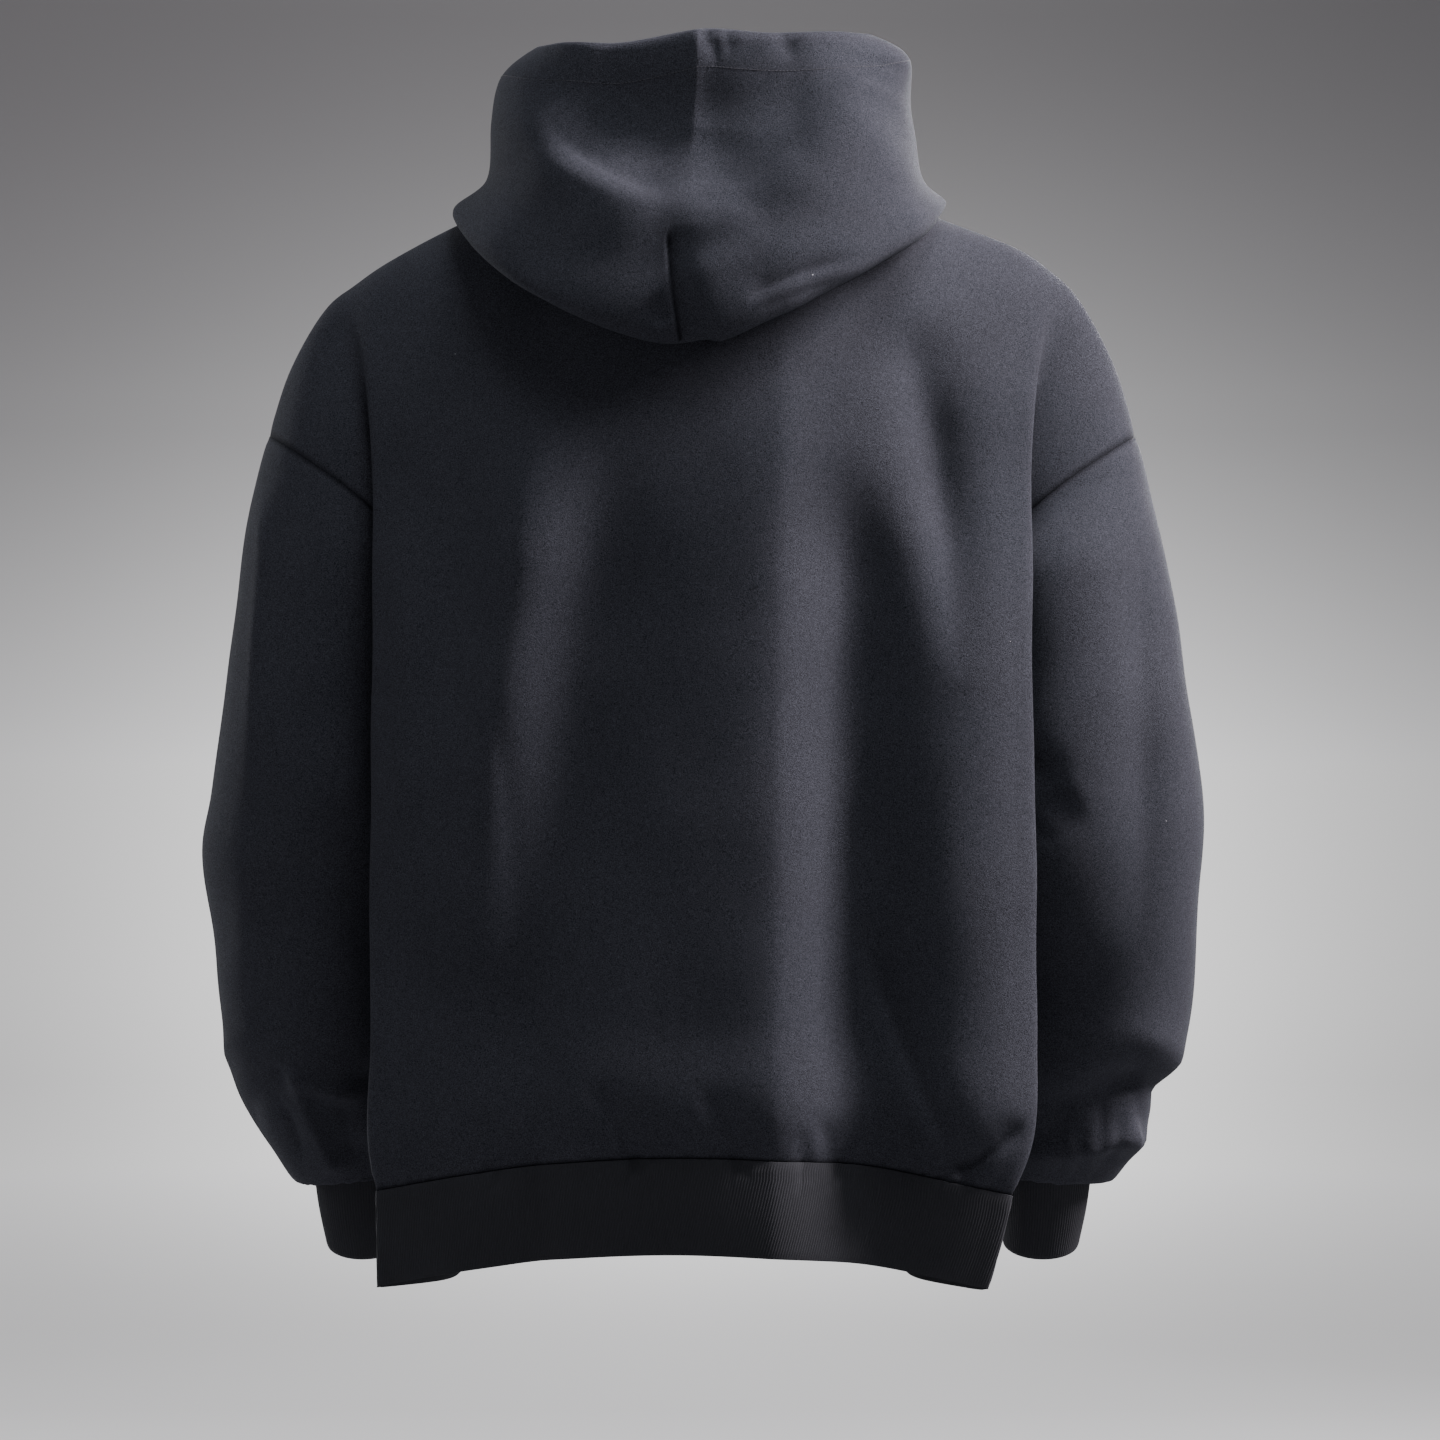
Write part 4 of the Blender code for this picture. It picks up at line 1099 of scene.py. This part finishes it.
sleeveCreases = {
    "back": (
        # the left sleeve, seen on the left
        (292, -196, 305, -430, 0, 5, 9, 2.2, 0.15, 0.5, 1.4),
        (300, -420, 318, -560, 3, 12, 16, 2.0, 0.3, 0.5, 1.8),
        (240, -250, 226, -420, 6, 14, 22, -3, 0.35, 0.4, 1.8),
        (228, -400, 222, -540, -4, 22, 20, -5, 0.3, 0.4, 2),
        (298, -576, 226, -614, -5, 6, 13, 5.5, 0.3, 0.3, 1.3),
        (276, -584, 248, -668, -3, 15, 6, 6.5, 0.15, 0.12, 1.3),
        (292, -586, 276, -602, 0, 9, 9, -5, 0.4, 0.4, 1.7),
        (288, -612, 276, -654, 4, 4, 6, -4, 0.3, 0.15, 1.3),
        (246, -606, 238, -660, 2, 9, 9, -4, 0.3, 0.2, 1.6),
        # the right sleeve
        (-214, -190, -220, -540, 0, 40, 56, 22, 0.2, 0.3, 1.8),
        (-291, -200, -293, -540, 0, 18, 15, -4.5, 0.3, 0.4, 1.8),
        (-314, -220, -318, -470, 0, 20, 30, 3, 0.3, 0.4, 2),
        (-208, -366, -246, -396, -6, 8, 10, -4.5, 0.15, 0.4, 1.5),
        (-212, -392, -240, -428, -4, 8, 12, 4, 0.2, 0.4, 1.5),
        (-216, -424, -252, -404, 5, 16, 12, -5, 0.25, 0.4, 1.8),
        (-246, -630, -252, -666, 1, 4, 4, 2.0, 0.3, 0.2, 1.5),
        (-262, -636, -266, -668, -1, 4, 4, 2.2, 0.3, 0.2, 1.5),
        (-224, -618, -304, -602, -4, 10, 13, -6, 0.25, 0.1, 1.6),
        (-208, -650, -300, -632, -6, 14, 10, 8, 0.3, 0.1, 1.6),
        (-272, -612, -268, -646, 1, 5, 5, -2.4, 0.3, 0.3, 1.4),
        (-286, -622, -276, -660, -2, 5, 5, -3, 0.3, 0.2, 1.4),
    ),
    "leftSide": (
        (-10, -250, -44, -560, 6, 20, 24, -4, 0.3, 0.3, 1.8),
        (30, -560, -70, -600, 6, 9, 14, 3.6, 0.3, 0.3, 1.5),
        (10, -600, -60, -640, 5, 7, 10, -3, 0.3, 0.3, 1.5),
    ),
    "rightSide": (
        (-6, -260, -40, -540, -6, 22, 22, -4, 0.3, 0.3, 1.8),
        (26, -556, -72, -596, -6, 12, 10, 3.6, 0.3, 0.3, 1.5),
        (30, -590, -130, -626, -4, 8, 9, -5.5, 0.2, 0.2, 1.6),
        (20, -626, -140, -656, -4, 11, 9, 5.5, 0.2, 0.2, 1.6),
    ),
    "front": (
        (212, -380, 262, -410, 5, 9, 12, -4.5, 0.2, 0.4, 1.5),
        (216, -420, 272, -452, 4, 10, 13, 4, 0.2, 0.4, 1.5),
        (222, -470, 262, -500, 4, 10, 12, -4, 0.2, 0.4, 1.6),
        (292, -570, 240, -610, 3, 8, 12, 3.4, 0.3, 0.3, 1.5),
        (262, -200, 272, -380, 0, 18, 20, 3, 0.3, 0.4, 1.8),
        (-210, -384, -258, -412, -5, 12, 9, -4.5, 0.2, 0.4, 1.5),
        (-214, -424, -270, -450, -4, 12, 10, 4, 0.2, 0.4, 1.5),
        (-220, -474, -258, -506, -4, 12, 10, -4, 0.2, 0.4, 1.6),
        (-288, -574, -238, -606, -3, 12, 8, 3.4, 0.3, 0.3, 1.5),
        (-258, -204, -268, -370, 0, 20, 18, 3, 0.3, 0.4, 1.8),
    ),
}


def hoodSpots(count):
    # places of the hood's columns along the neck seam, closest beside the dart
    near, closest, usual = 7, 6, 2
    fromMiddle = np.abs(np.arange(count - 1) + 0.5 - (count - 1) / 2)
    shares = np.where(fromMiddle < near, closest, usual)
    return np.concatenate([k + np.arange(n) / n for k, n in enumerate(shares)] + [[count - 1.0]])


def between(rows, spots):
    first = np.minimum(spots.astype(int), len(rows) - 2)
    return mix(rows[first], rows[first + 1], (spots - first)[:, None])


def makePanels():
    halves = {(front, side): bodyHalf(front, side) for front in (False, True) for side in (1, -1)}
    for (front, _), rows in halves.items():
        rows += foldMoves(rows, body["columns"], front, True)
    backGrid = np.concatenate([halves[False, -1][:, :0:-1], halves[False, 1]], axis=1)
    left, right = halves[True, 1], halves[True, -1]
    seam = neckSeam(backGrid, left, right, sum(body["columns"][:2]))
    hoodSurface = hoodGrid(between(seam, hoodSpots(len(seam))))
    fromRim = lengthsAlong(hoodSurface[::-1], 0)[::-1].mean(axis=1)
    wall = thickness["fleece"]
    hoodWall = np.where(fromRim < thickness["casingDepth"], thickness["casing"], wall)
    return {
        "back": Cloth("backCloth", "back", backGrid, -1, wall),
        "left": Cloth("leftFrontCloth", "front_left", left, 1, wall),
        "right": Cloth("rightFrontCloth", "front_right", right, -1, wall),
        "hood": Cloth("hoodCloth", "hood", hoodSurface, -1, hoodWall),
        "leftSleeve": Cloth("leftSleeveCloth", "sleeve_left", sleeveGrid(1), 1, wall, True),
        "rightSleeve": Cloth("rightSleeveCloth", "sleeve_right", sleeveGrid(-1), -1, wall, True),
    }


# Rib bands: ribs along the depth of each band, four columns of points to a rib
ribs = {
    "pitch": 1.9, "height": 0.5, "topFade": 2.5, "bottomFade": 1.5,
    "columns": (36, 26, 16, 18, 22, 12, 14, 18, 18), "rows": 11, "cuffColumns": 288,
}
ribShape = np.array([1.0, 0.62, 0.0, 0.62])


def ribbed(grid, around):
    length = lengthsAlong(closed(grid, around), 1)[:, -1].mean()
    return evenColumns(grid, round(length / ribs["pitch"]) * len(ribShape), around)


def raiseRibs(part):
    columns = np.arange(part.grid.shape[1])
    faded = smoothStep(0, ribs["topFade"], part.fromEdge("top"))
    faded = faded * smoothStep(0, ribs["bottomFade"], part.fromEdge("bottom"))
    part.grid += part.normals * (ribs["height"] * ribShape[columns % len(ribShape)] * faded)[..., None]


def bandGrid():
    quarters = {}
    for front in (False, True):
        for side in (1, -1):
            rows, sway = levelRows(bandRings, ribs["rows"], ribs["columns"], front)
            rows = onSide(rows, sway, side)
            quarters[front, side] = rows + foldMoves(rows, ribs["columns"], front, False)
    return np.concatenate([
        quarters[True, -1], quarters[False, -1][:, -2::-1],
        quarters[False, 1][:, 1:], quarters[True, 1][:, -2::-1],
    ], axis=1)


parts = makePanels()
band = Cloth("hemBandRib", "hem_band", ribbed(bandGrid(), False), -1, thickness["rib"])
ribParts = [band]
for side, name, solid in ((1, "leftCuffRib", "cuff_left"), (-1, "rightCuffRib", "cuff_right")):
    cuff = ribbed(cuffGrid(side, ribs["cuffColumns"]), True)
    ribParts.append(Cloth(name, solid, cuff, side, thickness["rib"], True))
fleeceParts = list(parts.values())
shareSeams(fleeceParts)

hooded = parts["hood"]
creaseAll(hooded, hoodCreases, *creaseEdges["hood"])
for name in ("leftSleeve", "rightSleeve"):
    creaseAll(parts[name], sleeveCreases, *creaseEdges["sleeve"])
wavy(parts["back"], "body", 11, 14)
wavy(parts["left"], "body", 12, 15, zipEdge=True)
wavy(parts["right"], "body", 13, 16, zipEdge=True)
wavy(hooded, "hood", 14)
wavy(parts["leftSleeve"], "sleeve", 15, 19)
wavy(parts["rightSleeve"], "sleeve", 16, 20)
# painted shade in the dart's fold, on the faces turned back
hooded.paintedSeamShade = creaseHeights(hooded.grid, {"back": [(*dart[:5], *dartShadeLine)]}, "back")
hooded.paintedSeamShade *= hooded.normals[..., 1] > 0.2
sewnEdges = {
    "back": ("top", "bottom", "start", "end"), "hood": ("top",),
    "left": ("top", "bottom", "end"), "right": ("top", "bottom", "end"),
    "leftSleeve": ("top", "bottom"), "rightSleeve": ("top", "bottom"),
}
for name, edges in sewnEdges.items():
    # seams are drawn in, with painted shade along their edges
    part = parts[name]
    for away in (part.fromEdge(edge) for edge in edges):
        part.heights = part.heights - seams["depth"] * np.exp(-((away / seams["width"]) ** 2))
        part.paintedSeamShade = np.maximum(part.paintedSeamShade, seams["paintedShadeStrength"] * (away < seams["paintedShadeWidth"]))
spots = hoodSpots(2 * 2 * sum(body["columns"][:2]) + 1)
onSeam = spots == spots.astype(int)
hooded.normals[0] = unit(between(hooded.normals[0, onSeam], spots))
for part in fleeceParts:
    part.drawIn(seams["neckGap"] if part is hooded else -seams["overlap"] / 2)
    part.grid += part.normals * part.heights[..., None]
for part in ribParts:
    part.drawIn(-seams["bandOverlap"] / 2)
bandInner = band.innerFace(seams["tapeClearance"])
for part in ribParts:
    raiseRibs(part)
print("cloth shaped")

for part in fleeceParts:
    centre = 0 if part.around else part.grid.shape[1] // 2
    onGarment(clothMesh(part, fleece, centre), "black_fleece", part.node)
for part in ribParts:
    onGarment(clothMesh(part, rib), "black_rib", part.node)
print("cloth made:", sum(len(o.data.polygons) for o in pieces.values()), "faces")


# Zip: a tape behind the edge of each front, moulded teeth, a slider with its pull tab, and a box
# at the hem
zipper = {
    "tapeInner": 1.0, "tapeOuter": 17, "tapeColumns": 11, "tapeSmoothing": 10,
    "frontColumns": 10, "bandColumns": 40,  # what is read of the cloth beside the zip
    "beyond": 8,  # and how far past its edge
    "toothPitch": 3.0, "toothWidth": 1.9, "toothThickness": 2.2, "toothRoot": 2.8, "toothNeck": 0.45,
    # a tooth's neck and head, by reach and change of width
    "toothSteps": ((-0.10, 0.42), (-0.35, 1.0), (-0.20, 1.75), (-0.35, 1.0), (-0.20, 0.6)),
    "teethFromTop": 9.1, "teethFromEnd": 10.35, "toothLift": 0.05,
}


def tapePlace(cloth):
    # rows of points across a tape, on the inner face of the cloth that it's sewn to
    inner, outer, beyond = zipper["tapeInner"], zipper["tapeOuter"], zipper["beyond"]
    wanted = np.linspace(inner, outer, zipper["tapeColumns"]) - body["opening"]
    rows = []
    for row in cloth:
        lengths = np.concatenate([[0], np.cumsum(np.abs(np.diff(row[:, 0])))])
        before = row[0] - (row[1] - row[0]) * beyond / lengths[1]
        rows.append(readLine(np.concatenate([[before], row]), [-beyond, *lengths], wanted))
    return np.array(rows)


def makeTape(name, solid, front, bandPart, outward):
    frontPart = front.innerFace(seams["tapeClearance"])[1:-1, :zipper["frontColumns"]]
    rows = np.concatenate([tapePlace(frontPart), tapePlace(bandPart[:, :zipper["bandColumns"]])])
    for _ in range(zipper["tapeSmoothing"]):
        # no kink where the tape passes from the front to the band
        rows[1:-1] = (rows[:-2] + 2 * rows[1:-1] + rows[2:]) / 4
    tape = Cloth(name, solid, rows, outward, thickness["tape"])
    onGarment(clothMesh(tape, wovenTape), "black_tape", solid)
    return tape


def placesAlong(line, wanted, span=0.8):
    # points at lengths along a line with its direction at each
    lengths = lengthsAlong(line, 0)
    spots, before, after = (readLine(line, lengths, wanted + shift) for shift in (0, -span, span))
    return spots, unit(after - before)


def copied(name, pattern, centres, across, up, out, look):
    # one mesh of many copies of a small shape, each in its own axes
    points = np.empty(3 * len(pattern.data.vertices))
    pattern.data.vertices.foreach_get("co", points)
    points = points.reshape(-1, 3)
    placed = centres[:, None] * mm
    for k, axis in enumerate((across, up, out)):
        placed = placed + points[None, :, k:k + 1] * np.broadcast_to(axis, centres.shape)[:, None]
    shapes = sorted(list(polygon.vertices) for polygon in pattern.data.polygons)
    faces = [[i + k * len(points) for i in shape] for k in range(len(centres)) for shape in shapes]
    bpy.data.objects.remove(pattern)
    return addObject(name, addMesh(name, placed.reshape(-1, 3), faces, look))


def startShape(add, **values):
    bpy.ops.object.select_all(action="DESELECT")
    add(**values)
    bpy.ops.object.mode_set(mode="EDIT")
    bpy.ops.mesh.select_mode(type="FACE")
    bpy.ops.mesh.select_all(action="SELECT")
    return bpy.context.object


def pickTip(piece):
    # the face at the tip of a tooth
    bpy.ops.mesh.select_all(action="DESELECT")
    bpy.ops.object.mode_set(mode="OBJECT")
    for polygon in piece.data.polygons:
        polygon.select = polygon.normal.x < -0.9
    bpy.ops.object.mode_set(mode="EDIT")


def makeTooth():
    # one tooth: a block on the tape, a neck and a rounded head past the middle of the zip
    tooth = startShape(bpy.ops.mesh.primitive_cube_add, size=1)
    root, neck = zipper["toothRoot"], zipper["toothNeck"]
    size = (root - neck, zipper["toothWidth"], zipper["toothThickness"])
    bpy.ops.transform.resize(value=[v * mm for v in size])
    bpy.ops.transform.translate(value=((root + neck) / 2 * mm, 0, size[2] / 2 * mm))
    for reach, width in zipper["toothSteps"]:
        pickTip(tooth)
        bpy.ops.mesh.extrude_region_move(TRANSFORM_OT_translate={"value": (reach * mm, 0, 0)})
        bpy.ops.transform.resize(value=(1, width, 1))
    bpy.ops.object.mode_set(mode="OBJECT")
    return tooth


def makeStitch():
    # one stitch of thread, rounded at its ends
    made = startShape(bpy.ops.mesh.primitive_uv_sphere_add, segments=6, ring_count=4, radius=0.5)
    bpy.ops.transform.resize(value=[v * mm for v in stitch["size"]])
    bpy.ops.object.mode_set(mode="OBJECT")
    return made


def lineAt(cloth, edge, distance):
    # the line on a cloth at a distance from one of its edges, with the outward directions along it
    away, points, normals = cloth.fromEdge(edge), cloth.grid, cloth.facing()
    if edge in ("top", "bottom"):
        away, points, normals = away.T, np.swapaxes(points, 0, 1), np.swapaxes(normals, 0, 1)
    line, facing = [], []
    for lengths, row, directions in zip(away, points, normals):
        order = np.argsort(lengths)
        line.append(readLine(row[order], lengths[order], distance))
        facing.append(readLine(directions[order], lengths[order], distance))
    return np.array(line), np.array(facing)


def sewAlong(name, cloth, edge, distance, pitch, margins):
    # a row of stitches on the face of a cloth
    line, facing = lineAt(cloth, edge, distance)
    lengths = lengthsAlong(line, 0)
    wanted = np.arange(margins[0], lengths[-1] - margins[1], pitch)
    spots, up = placesAlong(line, wanted)
    out = unit(readLine(facing, lengths, wanted))
    across = unit(np.cross(up, out))
    out, lifted = np.cross(across, up), spots + out * stitch["lift"]
    return onGarment(copied(name, makeStitch(), lifted, across, up, out, thread), "black_tape")


for solid in ("zip_slider", "zip_pull_tab", "zip_box", "zip_top_stop_left", "zip_top_stop_right"):
    for place in frame["nodes"][solid].material_slots:
        place.material = gunmetal

leftTape = makeTape("leftZipTape", "zip_tape_left", parts["left"], bandInner[:, ::-1], 1)
rightTape = makeTape("rightZipTape", "zip_tape_right", parts["right"], bandInner, -1)
middle = (leftTape.grid[:, 0] + rightTape.grid[:, 0]) / 2
length = np.linalg.norm(np.diff(middle, axis=0), axis=1).sum()
steps = np.arange(zipper["teethFromTop"], length - zipper["teethFromEnd"], zipper["toothPitch"] / 2)
centres, down = placesAlong(middle, steps)
sideways = np.where(np.arange(len(steps)) % 2 == 0, 1.0, -1.0)[:, None] * np.array([1.0, 0, 0])
out = unit(np.cross(down, [1.0, 0, 0])) * -1
out *= np.sign(-out[:, 1:2])
centres = centres + out * zipper["toothLift"]
teeth = copied("zipTeeth", makeTooth(), centres, sideways, np.cross(out, sideways), out, toothPlastic)
onGarment(teeth, "black_teeth", "zip_chain")

# Rows of stitches: the piece, the edge that they follow, how far from it, their pitch and what
# stays free at the ends
stitch = {"size": (0.55, 2.1, 0.42), "lift": 0.06}
stitchRows = {
    "hoodStitches": ("hood", "bottom", 29, 2.45, (4, 4)),
    "leftZipStitches": ("left", "start", 6.5, 3.1, (3, 2)),
    "rightZipStitches": ("right", "start", 6.5, 3.1, (3, 2)),
}
sewnOn = {}
for name, (sewnTo, *values) in stitchRows.items():
    sewnOn[parts[sewnTo].name] = [sewAlong(name, parts[sewnTo], *values)]
print("zip and stitches made")


# Cut sizes in metres, all round on a tube, with the area of the cut and what each piece hangs from
cuts = {
    "backCloth": (0.805, 0.69, 0.429, "hung", ("leftFrontCloth", "rightFrontCloth")),
    "leftFrontCloth": (0.435, 0.725, 0.187, "hung", ("backCloth",)),
    "rightFrontCloth": (0.435, 0.725, 0.188, "hung", ("backCloth",)),
    "hoodCloth": (0.975, 0.425, 0.180, "folded", ("backCloth",)),
    "leftSleeveCloth": (0.505, 0.555, 0.220, "hung", ("backCloth", "leftFrontCloth")),
    "rightSleeveCloth": (0.54, 0.56, 0.231, "hung", ("backCloth", "rightFrontCloth")),
    "hemBandRib": (1.18, 0.067, None, "stretched", ("backCloth", "leftFrontCloth", "rightFrontCloth")),
    "leftCuffRib": (0.18, 0.070, None, "stretched", ("leftSleeveCloth",)),
    "rightCuffRib": (0.18, 0.070, None, "stretched", ("rightSleeveCloth",)),
    "leftZipTape": (0.016, 0.655, None, "hung", ("leftFrontCloth",)),
    "rightZipTape": (0.016, 0.655, None, "hung", ("rightFrontCloth",)),
}
for name, (width, length, area, held, hangsFrom) in cuts.items():
    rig.sheet(
        pieces[name], flat=(width, length), held=held, rests_on=hangsFrom, area=area,
        with_pieces=sewnOn.get(name, ()),
    )


# Stage, light and camera
studio = {
    "floor": -1450, "radius": 6500, "bend": 2200, "bendSteps": 16, "height": 7000, "ring": 96,
    "colour": (0.10, 0.10, 0.105, 1), "roughness": 0.95, "specular": 0.1, "blueness": 1.01,
    # how strongly it glows at each height
    "glow": (
        (-1450, 0.44), (-1200, 1.15), (-900, 1.55), (-310, 0.80), (390, 0.33), (850, 0.14),
        (1270, 0.06),
    ),
    "darkSide": (2300, 4000, 0.35),  # the wall is darker on the left, from one place to another
    "pools": 10, "poolShare": 0.34, "poolsFrom": 3500, "poolsFull": 5500,
    # and lit more behind the front, low down: from y, to y, from z, to z, and by how much
    "spill": (-3600, -6000, 300, -900, 0.9),
}


def studioGlow(tree):
    # by height, less in soft pools round the wall and on its dark side, and more in the spill
    place = node(tree, "SeparateXYZ", {0: node(tree, "TexCoord")["Object"]})
    across, along, high = place["X"], place["Y"], place["Z"]
    lowest, highest = studio["glow"][0][0], studio["glow"][-1][0]
    shade = node(tree, "ValToRGB", {"Fac": ramp(tree, high, lowest * mm, highest * mm)})
    colours = shade["Color"].node.color_ramp
    colours.interpolation = "B_SPLINE"
    while len(colours.elements) < len(studio["glow"]):
        colours.elements.new(0.5)
    for spot, (z, strength) in zip(colours.elements, studio["glow"]):
        spot.position = (z - lowest) / (highest - lowest)
        spot.color = (strength, strength, strength * studio["blueness"], 1)
    turn = times(tree, maths(tree, "ARCTAN2", across, along), studio["pools"])
    distance = maths(tree, "SQRT", plus(tree, times(tree, across, across), times(tree, along, along)))
    onWall = ramp(tree, distance, studio["poolsFrom"] * mm, studio["poolsFull"] * mm)
    dip = times(tree, maths(tree, "SUBTRACT", maths(tree, "COSINE", turn), 1.0), studio["poolShare"])
    darkFrom, darkTo, darkest = studio["darkSide"]
    nearY, farY, highZ, lowZ, most = studio["spill"]
    spill = times(tree, ramp(tree, along, farY * mm, nearY * mm, most, 0.0),
                  ramp(tree, high, lowZ * mm, highZ * mm, 1.0, 0.0))
    darker = ramp(tree, across, darkFrom * mm, darkTo * mm, 1.0, darkest)
    pooled = plus(tree, times(tree, dip, onWall), 1.0)
    return scaled(tree, shade["Color"], times(tree, pooled, darker, plus(tree, spill, 1.0)))


def buildStudio():
    # a round pale floor that turns up into a wall, which glows softly and most of all near the floor
    look, tree, skin = surface("paleBackdrop")
    feed(tree, skin, {
        "Base Color": studio["colour"], "Roughness": studio["roughness"],
        "Specular IOR Level": studio["specular"],
        "Emission Color": studioGlow(tree), "Emission Strength": 1.0,
    })
    flat, bend = studio["radius"] - studio["bend"], studio["bend"]
    profile = [(1, 0), (flat, 0)]
    for k in range(1, studio["bendSteps"] + 1):
        turn = math.pi / 2 * k / studio["bendSteps"]
        profile.append((flat + bend * math.sin(turn), bend * (1 - math.cos(turn))))
    profile.append((studio["radius"], studio["height"]))
    turns = np.arange(studio["ring"]) * 2 * math.pi / studio["ring"]
    rings = [vec(r * np.cos(turns), r * np.sin(turns), z + studio["floor"]) * mm for r, z in profile]
    index = np.arange(len(rings) * studio["ring"]).reshape(len(rings), -1)
    beside = np.roll(index, -1, axis=1)
    faces = np.stack([index[:-1], beside[:-1], beside[1:], index[1:]], axis=-1).reshape(-1, 4)
    mesh = addMesh("studioFloor", np.concatenate(rings), [index[0].tolist(), *faces.tolist()], look)
    mesh.shade_smooth()
    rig.stage(addObject("studioFloor", mesh))


lightColumns = ("name", "place", "target", "width", "height", "power", "colour")
lights = (
    ("key", (-2600, 330, 1850), (0, 60, -300), 600, 1500, 790, (1.0, 0.915, 0.92)),
    ("top", (-500, 900, 2300), (0, 0, -300), 1200, 1200, 90, (0.95, 0.97, 1.0)),
    ("edge", (2500, -1900, 200), (250, 0, -350), 500, 1900, 120, (1, 1, 1)),
    ("left", (2700, 350, 500), (120, 60, -350), 900, 1500, 28, (0.96, 0.97, 1.0)),
    ("front", (-1500, -2700, 900), (0, 0, -350), 1300, 1800, 320, (1, 1, 1)),
)
room = {"Color": (0.3, 0.3, 0.31, 1), "Strength": 0.3}


def addLights():
    for row in lights:
        lamp = dict(zip(lightColumns, row))
        data = bpy.data.lights.new(lamp["name"], "AREA")
        data.shape, data.size, data.size_y = "RECTANGLE", lamp["width"] * mm, lamp["height"] * mm
        data.energy, data.color = lamp["power"], lamp["colour"]
        stand = addObject(lamp["name"], data)
        place, target = Vector(lamp["place"]), Vector(lamp["target"])
        stand.location = place * mm
        stand.rotation_euler = (target - place).to_track_quat("-Z", "Y").to_euler()
    world = bpy.data.worlds.new("soft room")
    bpy.context.scene.world = world
    world.use_nodes = True
    feed(world.node_tree, world.node_tree.nodes["Background"], room)


view = {"place": (-12, 2660, -356), "lens": 98.5, "sensor": 36}


def addCamera():
    data = bpy.data.cameras.new("camera")
    data.lens, data.sensor_width = view["lens"], view["sensor"]
    camera = addObject("camera", data)
    camera.location = Vector(view["place"]) * mm
    camera.rotation_euler = (math.pi / 2, 0, math.pi)
    bpy.context.scene.camera = camera


buildStudio()
addLights()
addCamera()
print("studio ready")

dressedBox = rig.bounds()
with open("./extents.json", "w") as sizes:
    json.dump({"cad": [list(c) for c in cadBox], "visual": [list(c) for c in dressedBox]}, sizes)
